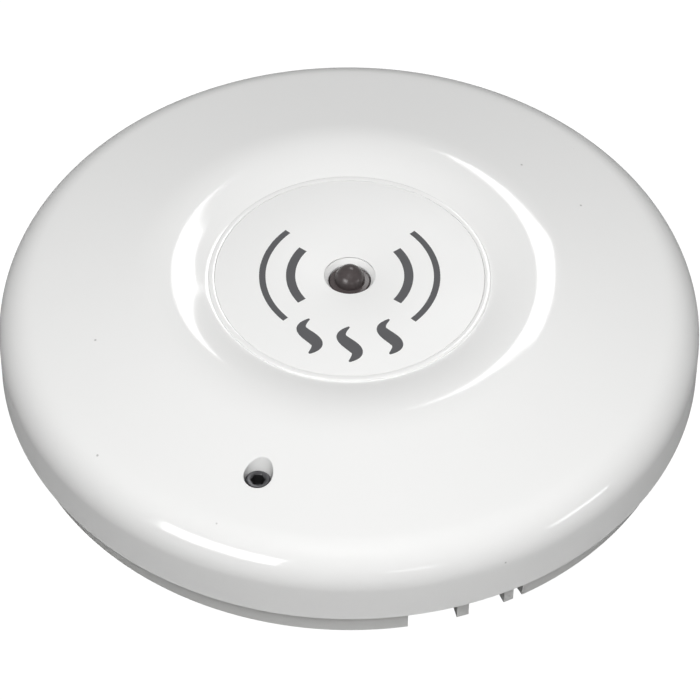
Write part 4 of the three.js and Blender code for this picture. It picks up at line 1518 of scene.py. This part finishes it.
@dataclass
class Terminals:
    """The four wiring terminals: bronze strip with a spring leaf, clamping washer and slotted screw."""

    trees: Trees
    count: int = 4
    first: float = 45.0
    circle: float = 36.0
    bore: float = 1.9
    strip_width: float = 7.0
    strip_thickness: float = 0.8
    strip_reach: float = 4.0
    strip_length: float = 8.5
    leaf_run: float = 4.0
    leaf_flat: float = 3.0
    leaf_thickness: float = 0.5
    washer_side: float = 7.4
    washer_lip: float = 0.3
    head_radius: float = 3.0
    head_height: float = 2.0
    shank_radius: float = 1.6
    thread_pitch: float = 0.7
    thread_depth: float = 0.3
    slot_width: float = 0.8
    slot_depth: float = 1.0

    def hole(self, low: float, high: float) -> Piece:
        """Draw the cutter for the screw's hole through strip or washer.

        Args:
            low: the underside of what is cut.
            high: its top.

        Returns:
            The cutter.
        """
        shell = Shell()
        shell.turned([(0.0, low - 1), (self.bore, low - 1), (self.bore, high + 1), (0.0, high + 1)], SMALL,
                     (0.0, -self.circle))
        return shell.object("hole")

    def finish(self, piece: Piece, finish: Finish, shading: Shading, node: str) -> None:
        """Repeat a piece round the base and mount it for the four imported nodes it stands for."""
        self.trees.ring.apply(piece, finish, Count=self.count, First=self.first, Step=360 / self.count)
        mount(piece, Body.BASE, finish, shading, *numbered(node, self.count))

    def strip(self) -> Piece:
        """Bend the strip into its leaf and punch its hole."""
        room = Room.of("base_contact_1")
        low, top = room.low.z, room.high.z
        high, under = low + self.strip_thickness, top - self.leaf_thickness
        outer = -self.circle - self.strip_reach
        inner = outer + self.strip_length
        side = rounded_loop([
            (outer, low), (inner, low), (inner + self.leaf_run, under),
            (inner + self.leaf_run + self.leaf_flat, under), (inner + self.leaf_run + self.leaf_flat, top),
            (inner + self.leaf_run - 0.2, top), (inner - 0.4, high), (outer, high)], 0.5, 5)
        shell = Shell()
        shell.prism(side, -self.strip_width / 2, self.strip_width / 2)
        return combine(shell.moved(SIDEWAYS).object("spring_contacts"), self.hole(low, high), "DIFFERENCE")

    def washer(self) -> Piece:
        """Press the square washer, with a turned-down lip that holds the wire."""
        room = Room.of("terminal_washer_1")
        low, high = room.low.z, room.high.z
        half = self.washer_side / 2
        side = rounded_loop([
            (-half, low), (-half + 0.6, low + self.washer_lip), (half - 0.6, low + self.washer_lip),
            (half, low), (half, high), (-half, high)], 0.2)
        shell = Shell()
        shell.prism([(y - self.circle, z) for y, z in side], -half, half)
        return combine(shell.moved(SIDEWAYS).object("terminal_washers"), self.hole(low, high), "DIFFERENCE")

    def screw(self) -> Piece:
        """Turn the screw with rolled thread rings and cut its slot."""
        room = Room.of("terminal_screw_1")
        low, top = room.low.z, room.high.z
        head = top - self.head_height
        turns = int((head - low) / self.thread_pitch)
        thread = []
        for i in range(turns):
            z = low + i * self.thread_pitch
            thread += [(self.shank_radius - self.thread_depth, z),
                       (self.shank_radius, z + self.thread_pitch / 2)]
        dome = [(self.head_radius - 0.7, top), (0.0, top)]
        corners = [(self.shank_radius - self.thread_depth, head), (self.head_radius, head),
                   (self.head_radius, top - 0.6)]
        shell = Shell()
        shell.turned([(0.0, low), *thread, *rounded([*corners, *dome], 0.35)], SMALL, (0.0, -self.circle))
        slot = Shell()
        slot.block((self.head_radius * 3, self.slot_width, self.slot_depth * 2),
                   (0.0, -self.circle, top - self.slot_depth))
        return soften(combine(shell.object("terminal_screws"), slot.object("slot"), "DIFFERENCE"), 0.06)

    def build(self) -> None:
        """Build and dress the terminals."""
        self.finish(soften(self.strip(), 0.06), BRONZE, Shading.CREASED, "base_contact")
        self.finish(soften(self.washer(), 0.06), ZINC, Shading.CREASED, "terminal_washer")
        self.finish(self.screw(), ZINC, Shading.CREASED, "terminal_screw")


# ---- head


@dataclass
class Chassis:
    """The plate that carries the head: bayonet lugs, cover pegs, board stands, vents and the screw's post."""

    trees: Trees
    plate: Point = (7.0, 8.4)
    radius: float = 47.2
    edge: float = 0.25
    lugs: int = 3
    lug_radius: float = 49.1
    lug_first: float = 60.0
    lug_span: float = 12.0
    peg_circle: float = 43.0
    peg_first: float = 30.0
    peg_radius: float = 2.0
    stand_radius: float = 3.0
    stand_top: float = 9.3
    pilot: float = 1.3
    stands: tuple[Point, ...] = BOARD_SCREWS
    post_radius: float = 4.8
    pocket_radius: float = 3.5
    pocket_low: float = 8.6
    through: float = 2.4
    vent_radii: Point = (38.5, 44.5)
    vent_span: float = 28.0
    vents: int = 3
    vent_first: float = 105.0
    vent_step: float = 75.0
    window: Point = (3.4, 1.6)
    blade_circle: float = 28.0
    foot: tuple[float, ...] = (6.0, 5.4, 0.5)
    leg: Point = (2.6, 0.8)

    def __post_init__(self) -> None:
        """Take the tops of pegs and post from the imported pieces."""
        room, insert = Room.of("head_chassis"), Room.of("threaded_insert")
        self.peg_top = room.high.z
        self.post_top = min(room.high.z, insert.high.z + 0.2)
        self.post_place = (insert.centre.x, insert.centre.y)

    def upright(self, name: str, radius: float, low: float, high: float, place: Point, edge: float = 0.0,
                ) -> Piece:
        """Draw an upright round bar.

        Args:
            name: the object's name.
            radius: its radius.
            low: height of its underside.
            high: height of its top.
            place: its axis in plan.
            edge: rounding at its top.

        Returns:
            The bar.
        """
        shell = Shell()
        corners = [(radius, low), (radius, high), (0.0, high)]
        shell.turned([(0.0, low), *(rounded(corners, edge) if edge else corners)], SMALL, place)
        return shell.object(name)

    def plate_blank(self) -> Piece:
        """Turn the plate and add its three lugs."""
        low, high = self.plate
        shell = Shell()
        shell.turned([(0.0, low), *rounded([(2.0, low), (self.radius, low), (self.radius, high), (2.0, high)],
                                           self.edge), (0.0, high)], FINE)
        lug = Shell()
        lug.sweep(rounded_loop([(self.radius - 1, low), (self.lug_radius, low), (self.lug_radius, high),
                                (self.radius - 1, high)], self.edge), (-self.lug_span / 2, self.lug_span / 2))
        lugs = self.trees.ring.apply(lug.object("lugs"), BASE_ABS, Count=self.lugs, First=self.lug_first,
                                     Step=360 / self.lugs)
        return combine(shell.object("head_chassis"), lugs, "UNION")

    def chassis(self) -> Piece:
        """Add pegs, stands and post to the plate, and cut its holes."""
        low, high = self.plate
        root = (low + high) / 2
        pegs = self.upright("pegs", self.peg_radius, root, self.peg_top, (0.0, -self.peg_circle), 0.5)
        self.trees.ring.apply(pegs, BASE_ABS, Count=self.lugs, First=self.peg_first, Step=360 / self.lugs)
        spots = [self.upright("stand", self.stand_radius, root, self.stand_top, place, self.edge)
                 for place in self.stands]
        pilots = [self.upright("pilot", self.pilot, low - 1, self.stand_top + 1, place)
                  for place in self.stands]
        post = self.upright("post", self.post_radius, root, self.post_top, self.post_place, self.edge)
        pocket = self.upright("pocket", self.pocket_radius, self.pocket_low, self.post_top + 1, self.post_place)
        through = self.upright("through", self.through, low - 1, self.pocket_low + 1, self.post_place)
        window = Shell()
        window.block((*self.window, high - low + 2), (0.0, -self.blade_circle, low - 1))
        windows = self.trees.ring.apply(window.object("windows"), BASE_ABS, Count=4, First=45.0, Step=90.0)
        vent = Shell()
        inner, outer = self.vent_radii
        vent.sweep([(inner, low - 1), (outer, low - 1), (outer, high + 1), (inner, high + 1)],
                   (-self.vent_span / 2, self.vent_span / 2))
        vents = self.trees.ring.apply(vent.object("vents"), BASE_ABS, Count=self.vents, First=self.vent_first,
                                      Step=self.vent_step)
        piece = self.plate_blank()
        for part in (pegs, *spots, post):
            combine(piece, part, "UNION")
        for part in (*pilots, pocket, through, windows, vents):
            combine(piece, part, "DIFFERENCE")
        return piece

    def blades(self) -> Piece:
        """Draw the four contact blades: a flat foot below the plate and a leg up to the board."""
        room = Room.of("head_contact_1")
        low, high = room.low.z, room.high.z
        shell = Shell()
        shell.block(self.foot, (0.0, -self.blade_circle + 0.4, low))
        blade = shell.object("contact_blades")
        leg = Shell()
        leg.block((*self.leg, high - low - 0.2), (0.0, -self.blade_circle, low + 0.2))
        soften(combine(blade, leg.object("leg"), "UNION"), 0.08)
        return self.trees.ring.apply(blade, BRONZE, Count=4, First=45.0, Step=90.0)

    def build(self) -> None:
        """Build and dress the chassis and its blades."""
        mount(soften(self.chassis(), 0.1), Body.HEAD, BASE_ABS, Shading.SOFT, "head_chassis")
        mount(self.blades(), Body.HEAD, BRONZE, Shading.CREASED, *numbered("head_contact", 4))


@dataclass
class Board:
    """The round circuit board, its screws and the parts soldered to it."""

    trees: Trees
    holes: tuple[Point, ...] = BOARD_SCREWS
    hole_radius: float = 1.5
    lead_side: float = 0.7
    lead_pitch: float = 0.8
    lead_width: float = 0.32
    leads: int = 7
    cross_width: float = 0.6
    cross_depth: float = 0.7
    shank_radius: float = 1.0
    head_height: float = 1.5
    lead_thickness: float = 0.15
    draft: float = 0.12
    dot_radius: float = 0.35
    dot_depth: float = 0.06
    resistor: tuple[float, ...] = (2.0, 1.2, 0.5)
    resistors: int = 5
    resistor_pitch: float = 3.1
    resistor_place: Point = (-17.0, -6.5)

    def board(self) -> None:
        """Cut the laminate with its four screw holes."""
        room = Room.of("circuit_board")
        low, high = room.low.z, room.high.z
        shell = Shell()
        edge = rounded([(2.0, low), (room.radius, low), (room.radius, high), (2.0, high)], 0.1)
        shell.turned([(0.0, low), *edge, (0.0, high)], FINE)
        drill = Shell()
        for place in self.holes:
            drill.turned([(0.0, low - 1), (self.hole_radius, low - 1), (self.hole_radius, high + 1),
                          (0.0, high + 1)], SMALL, place)
        board = combine(shell.object("circuit_board"), drill.object("drill"), "DIFFERENCE")
        mount(board, Body.HEAD, BOARD_MASK, Shading.CREASED, "circuit_board")

    def screws(self) -> None:
        """Turn one cross-head screw and set a copy in every hole."""
        room = Room.of("board_screw_1")
        low, top = room.low.z, room.high.z
        head, shank = room.radius, self.shank_radius
        head_z = top - self.head_height
        shell = Shell()
        shell.turned([(0.0, low), (shank * 0.4, low), (shank, low + 0.8), *rounded([
            (shank, head_z - 0.2), (shank, head_z), (head, head_z), (head, top - 0.7),
            (head * 0.72, top - 0.15), (0.6, top)], 0.15), (0.0, top)], SMALL)
        template = shell.object("template")
        for size in ((head * 1.1, self.cross_width), (self.cross_width, head * 1.1)):
            slot = Shell()
            slot.block((*size, 2.0), (0.0, 0.0, top - self.cross_depth))
            combine(template, slot.object("slot"), "DIFFERENCE")
        soften(template, 0.05)
        spots = Shell([(x, y, 0.0) for x, y in self.holes], [])
        screws = spots.object("board_screws")
        self.trees.spot.apply(screws, ZINC, Template=template)
        bpy.data.objects.remove(template)
        mount(screws, Body.HEAD, ZINC, Shading.CREASED, *numbered("board_screw", 4))

    def chip_leads(self, room: Room) -> Piece:
        """Bend one gull-wing lead, repeat it along one side, then round all four.

        Args:
            room: the space of the chip and its leads.

        Returns:
            All the leads as one object.
        """
        low, half = room.low.z, room.radius
        shoulder, thin = low + 0.6, self.lead_thickness
        steps = ((0.0, low), (0.4, low), (0.55, shoulder - thin), (1.2, shoulder - thin), (1.2, shoulder),
                 (0.4, shoulder), (0.25, low + thin), (0.0, low + thin))
        side = [(-half + along, z) for along, z in steps]
        shell = Shell()
        shell.prism(side, -self.lead_width / 2, self.lead_width / 2)
        leads = shell.moved(SIDEWAYS).object("chip_leads")
        self.trees.row.apply(leads, ZINC, Count=self.leads, Pitch=self.lead_pitch * MM)
        self.trees.ring.apply(leads, ZINC, Count=4, First=0.0, Step=90.0)
        leads.data.transform(Matrix.Translation((room.centre.x * MM, room.centre.y * MM, 0.0)))
        return leads

    def moulded(self, name: str, node: str, inset: float) -> None:
        """Draw one moulded part body with a little draft and a pin-one dot.

        Args:
            name: the object's name.
            node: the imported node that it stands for.
            inset: how far its leads stick out at each side.
        """
        room = Room.of(node)
        size = room.high - room.low
        x, y = size.x / 2 - inset, size.y / 2 - (inset if node == "controller_chip" else 0.0)
        low, high = room.low.z + 0.1, room.high.z
        middle, draft = (low + high) / 2, self.draft
        shell = Shell()
        rings = []
        for z, grown in ((low, -draft), (middle, 0.0), (high, -draft)):
            rings.append(shell.ring([(room.centre.x + sx * (x + grown), room.centre.y + sy * (y + grown), z)
                                     for sx, sy in ((-1, -1), (1, -1), (1, 1), (-1, 1))]))
        for one, other in zip(rings, rings[1:]):
            shell.bridge(one, other)
        shell.faces += [tuple(reversed(rings[0])), tuple(rings[-1])]
        body = shell.object(name)
        dot = Shell()
        floor = high - self.dot_depth
        dot.turned([(0.0, floor), (0.3, floor), (self.dot_radius, high + 1), (0.0, high + 1)], SMALL,
                   (room.centre.x - x + 0.7, room.centre.y + y - 0.7))
        mount(soften(combine(body, dot.object("dot"), "DIFFERENCE"), 0.06), Body.HEAD, CHIP_EPOXY,
              Shading.CREASED, node)

    def tabs(self, name: str, node: str, inset: float) -> None:
        """Draw the two flat solder tabs of a small part.

        Args:
            name: the object's name.
            node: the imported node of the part.
            inset: how far a tab sticks out.
        """
        room = Room.of(node)
        size = room.high - room.low
        shell = Shell()
        for side in (-1, 1):
            shell.block((inset + 0.3, min(size.y, 1.6), 0.18),
                        (room.centre.x + side * (size.x / 2 - inset / 2 - 0.15), room.centre.y, room.low.z))
        mount(soften(shell.object(name), 0.04), Body.HEAD, ZINC, Shading.CREASED)

    def capacitor(self) -> None:
        """Turn the capacitor's can: rolled foot, sleeve and crimped top."""
        room = Room.of("smoothing_capacitor")
        low, high, r = room.low.z, room.high.z, room.radius
        corners = [(1.0, low), (r, low), (r, low + 0.9), (r - 0.25, low + 1.2), (r, low + 1.5), (r, high),
                   (r - 0.5, high), (r - 0.6, high - 0.2), (0.8, high - 0.2)]
        shell = Shell()
        shell.turned([(0.0, low), *rounded(corners, 0.18), (0.0, high - 0.2)], MEDIUM,
                     (room.centre.x, room.centre.y))
        mount(shell.object("smoothing_capacitor"), Body.HEAD, CAN_SLEEVE, Shading.SOFT, "smoothing_capacitor")

    def resistor_row(self) -> None:
        """Lay a row of small chip resistors beside the controller."""
        shell = Shell()
        shell.block((*self.resistor[:2], self.resistor[2]), (0.0, 0.0, Room.of("circuit_board").high.z + 0.02))
        row = soften(shell.object("chip_resistors"), 0.06)
        self.trees.row.apply(row, CHIP_EPOXY, Count=self.resistors, Pitch=self.resistor_pitch * MM)
        x, y = self.resistor_place
        row.data.transform(Matrix.Translation((x * MM, y * MM, 0.0)))
        mount(row, Body.HEAD, CHIP_EPOXY, Shading.CREASED)

    def build(self) -> None:
        """Build and dress the board and its parts."""
        self.board()
        self.screws()
        self.moulded("controller_chip", "controller_chip", self.lead_side)
        mount(self.chip_leads(Room.of("controller_chip")), Body.HEAD, ZINC, Shading.CREASED)
        for name in ("surge_suppressor", "bridge_rectifier"):
            self.moulded(name, name, 0.3)
            self.tabs(f"{name}_tabs", name, 0.3)
        self.capacitor()
        self.resistor_row()


@dataclass
class Chamber:
    """The optical chamber: vanes that keep light out, cap, wire screen, emitter and photodiode."""

    trees: Trees
    place: Point = (0.0, 20.5)
    radius: float = 16.5
    floor: float = 1.0
    vanes: int = 16
    vane_lean: float = 38.0
    vane_long: Point = (1.0, 4.4)
    vane_short: Point = (3.0, 1.0)
    vane_inset: float = 3.2
    upright_wires: int = 96
    level_wires: int = 6
    wire: float = 0.07
    wall: float = 0.4
    frame: float = 0.7
    wing_place: Point = (1.1, 1.6)
    vane_gap: float = 0.4
    optic_radius: float = 1.5
    optic_length: float = 4.5
    optic_circle: float = 9.0
    emitter: float = 60.0
    photodiode: float = 180.0

    def seat(self, piece: Piece) -> Piece:
        """Move a piece that was drawn round the origin to the chamber's axis."""
        piece.data.transform(Matrix.Translation((self.place[0] * MM, self.place[1] * MM, 0.0)))
        return piece

    def labyrinth(self) -> None:
        """Draw one bent vane, repeat it round the floor and join both."""
        room = Room.of("chamber_labyrinth")
        low, high = room.low.z, room.high.z
        shell = Shell()
        foot = low + self.vane_gap
        shell.block((*self.vane_long, high - foot), (0.0, 0.0, foot))
        vane = shell.moved(Matrix.Rotation(math.radians(self.vane_lean), 4, "Z")).object("vanes")
        wing = Shell()
        wing.block((*self.vane_short, high - foot), (*self.wing_place, foot))
        soften(combine(vane, wing.object("wing"), "UNION"), 0.12)
        vane.data.transform(Matrix.Translation((0.0, -(self.radius - self.vane_inset) * MM, 0.0)))
        self.trees.ring.apply(vane, CHAMBER_PC, Count=self.vanes, First=0.0, Step=360 / self.vanes)
        floor = Shell()
        floor.turned([(0.0, low), *rounded([(2.0, low), (self.radius, low), (self.radius, low + self.floor),
                                            (2.0, low + self.floor)], 0.15), (0.0, low + self.floor)], MEDIUM)
        piece = self.seat(combine(floor.object("chamber_labyrinth"), vane, "UNION"))
        mount(piece, Body.HEAD, CHAMBER_PC, Shading.CREASED, "chamber_labyrinth")

    def cap(self) -> None:
        """Turn the chamber's cap with two moulded steps on top."""
        room = Room.of("chamber_cap")
        low, high = room.low.z, room.high.z
        corners = [(2.0, low), (self.radius, low), (self.radius, high - 0.4), (self.radius - 0.4, high),
                   (self.radius - 2.0, high), (self.radius - 2.2, high - 0.25), (6.0, high - 0.25), (5.8, high),
                   (4.6, high), (4.4, high - 0.25), (1.0, high - 0.25)]
        shell = Shell()
        shell.turned([(0.0, low), *rounded(corners, 0.15), (0.0, high - 0.25)], MEDIUM)
        mount(self.seat(shell.object("chamber_cap")), Body.HEAD, CHAMBER_PC, Shading.SOFT, "chamber_cap")

    def screen(self) -> None:
        """Weave the screen; its mesh is drawn about twice as coarse as the real half-millimetre one."""
        room = Room.of("insect_screen")
        low, high = room.low.z, room.high.z
        outer = room.radius
        inner = outer - self.wall
        shell = Shell()
        for foot in (low, high - self.frame):
            shell.turned([(inner, foot), (outer, foot), (outer, foot + self.frame), (inner, foot + self.frame),
                          (inner, foot)], MEDIUM)
        mount(self.seat(soften(shell.object("screen_frames"), 0.05)), Body.HEAD, STAINLESS, Shading.SOFT,
              "insect_screen")
        weave = Shell([(0.0, 0.0, 0.0)], []).object("insect_screen_wires")
        self.trees.screen.apply(
            weave, STAINLESS, Radius=(inner + outer) / 2 * MM, Height=(high - low - self.frame) * MM,
            Centre=(self.place[0] * MM, self.place[1] * MM, (low + high) / 2 * MM),
            Upright_Wires=self.upright_wires, Level_Wires=self.level_wires, Wire_Radius=self.wire * MM)
        mount(weave, Body.HEAD, STAINLESS, Shading.SMOOTH)

    def optic(self, name: str, azimuth: float, finish: Finish) -> None:
        """Draw a round-nosed infrared part that looks at the middle of the chamber.

        Args:
            name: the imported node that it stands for.
            azimuth: where it sits round the chamber.
            finish: its material.
        """
        radius, length = self.optic_radius, self.optic_length
        nose = [(radius * math.cos(a), length - radius + radius * math.sin(a))
                for a in (math.radians(6 * i) for i in range(15))]
        shell = Shell()
        shell.turned([(0.0, 0.0), *rounded([(0.4, 0.0), (radius, 0.0), (radius, 0.9), (radius - 0.12, 1.0),
                                            (radius - 0.12, length - radius - 0.2), nose[0]], 0.06),
                      *nose[1:], (0.0, length)], SMALL)
        height = Room.of(name).centre.z
        spot = (Matrix.Translation((*self.place, 0.0)) @ Matrix.Rotation(math.radians(azimuth), 4, "Z")
                @ Matrix.Translation((0.0, -self.optic_circle, height)) @ Matrix.Rotation(-math.pi / 2, 4, "X"))
        mount(shell.moved(spot).object(name), Body.HEAD, finish, Shading.SOFT, name)

    def build(self) -> None:
        """Build and dress the chamber."""
        self.labyrinth()
        self.cap()
        self.screen()
        self.optic("infrared_emitter", self.emitter, CLEAR_EPOXY)
        self.optic("photodiode", self.photodiode, CHIP_EPOXY)


# ---- studio


@dataclass(frozen=True)
class Softbox:
    """A rectangular studio light that looks at the detector."""

    name: str
    azimuth: float
    elevation: float
    distance: float
    width: float
    height: float
    power: float
    roll: float = 0.0
    lit: bool = True
    mirrored: bool = True

    def build(self) -> None:
        """Hang the light; its azimuth runs from the back (+Y) towards +X."""
        az, el = math.radians(self.azimuth), math.radians(self.elevation)
        away = Vector((math.sin(az) * math.cos(el), math.cos(az) * math.cos(el), math.sin(el)))
        lamp = bpy.data.lights.new(self.name, "AREA")
        lamp.shape = "RECTANGLE"
        lamp.size, lamp.size_y, lamp.energy = self.width, self.height, self.power
        made = bpy.data.objects.new(self.name, lamp)
        made.visible_diffuse, made.visible_glossy = self.lit, self.mirrored
        made.location = away * self.distance
        aim = away.to_track_quat("Z", "Y").to_matrix().to_4x4()
        turn = aim @ Matrix.Rotation(math.radians(self.roll), 4, "Z")
        made.rotation_euler = turn.to_euler()
        bpy.context.scene.collection.objects.link(made)


@dataclass
class Studio:
    """A pale floor, soft light and the camera."""

    distance: float = 0.49025
    elevation: float = 47.88
    lens: float = 150.19
    roll: float = 0.0069
    shift: Point = (0.0013, 0.0200)
    sensor: float = 36.0
    floor_size: float = 6.0
    floor_drop: float = 0.05
    floor_colour: str = "#a8a8a8"
    floor_white: float = 1.05
    sky: float = 0.3
    lights: tuple[Softbox, ...] = (
        Softbox("back_softbox", 13.0, 45.0, 1.6, 0.34, 0.37, 2.6, lit=False),
        Softbox("high_fill", 180.0, 80.0, 1.0, 0.5, 0.4, 2.3, mirrored=False),
        Softbox("front_fill", 180.0, 60.0, 1.0, 0.5, 0.4, 7.5, mirrored=False),
        Softbox("left_fill", -90.0, 50.0, 1.0, 0.5, 0.4, 0.8, mirrored=False),
        Softbox("right_fill", 125.0, 20.0, 1.0, 0.5, 0.3, 0.8, mirrored=False),
        Softbox("left_strip", -144.0, 22.0, 1.2, 0.70, 0.40, 6.0, lit=False),
        Softbox("right_strip", 114.0, 5.0, 1.5, 0.50, 0.16, 1.2, lit=False),
        Softbox("low_strip", 163.0, 9.0, 1.0, 0.22, 0.06, 0.16, lit=False),
    )

    def floor(self) -> None:
        """Lay the pale floor just under the detector."""
        shell = Shell()
        half = self.floor_size / 2 / MM
        corners = ((-half, -half), (half, -half), (half, half), (-half, half))
        shell.points = [(x, y, -self.floor_drop) for x, y in corners]
        shell.faces = [(0, 1, 2, 3)]
        floor = shell.object("floor")
        material = bpy.data.materials.new("white_floor")
        material.use_nodes = True
        tree = material.node_tree
        tree.nodes.clear()
        light_path = add_node(tree, "ShaderNodeLightPath")
        grey = add_node(tree, "ShaderNodeBsdfDiffuse", {"Color": linear(self.floor_colour)})
        white = add_node(tree, "ShaderNodeEmission", {
            "Color": linear("#ffffff"), "Strength": self.floor_white})
        mix = add_node(tree, "ShaderNodeMixShader", {
            0: light_path.outputs["Is Camera Ray"], 1: grey.outputs[0], 2: white.outputs[0]})
        add_node(tree, "ShaderNodeOutputMaterial", {"Surface": mix.outputs[0]})
        floor.data.materials.append(material)

    def camera(self) -> None:
        """Set the camera in front, looking down at the middle of the detector's back."""
        el = math.radians(self.elevation)
        away = Vector((0.0, -math.cos(el), math.sin(el)))
        data = bpy.data.cameras.new("camera")
        data.lens, data.sensor_width = self.lens, self.sensor
        data.shift_x, data.shift_y = self.shift
        made = bpy.data.objects.new("camera", data)
        made.location = away * self.distance
        turn = away.to_track_quat("Z", "Y").to_matrix().to_4x4() @ Matrix.Rotation(self.roll, 4, "Z")
        made.rotation_euler = turn.to_euler()
        bpy.context.scene.collection.objects.link(made)
        bpy.context.scene.camera = made

    def build(self) -> None:
        """Build the whole studio."""
        self.floor()
        self.camera()
        for light in self.lights:
            light.build()
        world = bpy.data.worlds.new("studio")
        world.use_nodes = True
        tree = world.node_tree
        mirrored = add_node(tree, "ShaderNodeLightPath").outputs["Is Glossy Ray"]
        level = add_node(tree, "ShaderNodeMath", {0: mirrored, 1: self.sky}, operation="MULTIPLY").outputs[0]
        room = tree.nodes["Background"]
        room.inputs["Color"].default_value = linear("#ffffff")
        tree.links.new(level, room.inputs["Strength"])
        bpy.context.scene.world = world
        bpy.context.scene.view_settings.view_transform = "Standard"


# ---- assembly


def main() -> None:
    """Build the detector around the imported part, then the studio."""
    logging.basicConfig(level=logging.INFO, format="%(name)s: %(message)s")
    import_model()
    trees = Trees()
    for sub_assembly in (MountingBase(trees), Grommet(), Terminals(trees), Chassis(trees), Board(trees),
                         Chamber(trees), LockingScrew(), Indicator(), Cover(), Label()):
        sub_assembly.build()
    Studio().build()


if __name__ == "__main__":
    main()
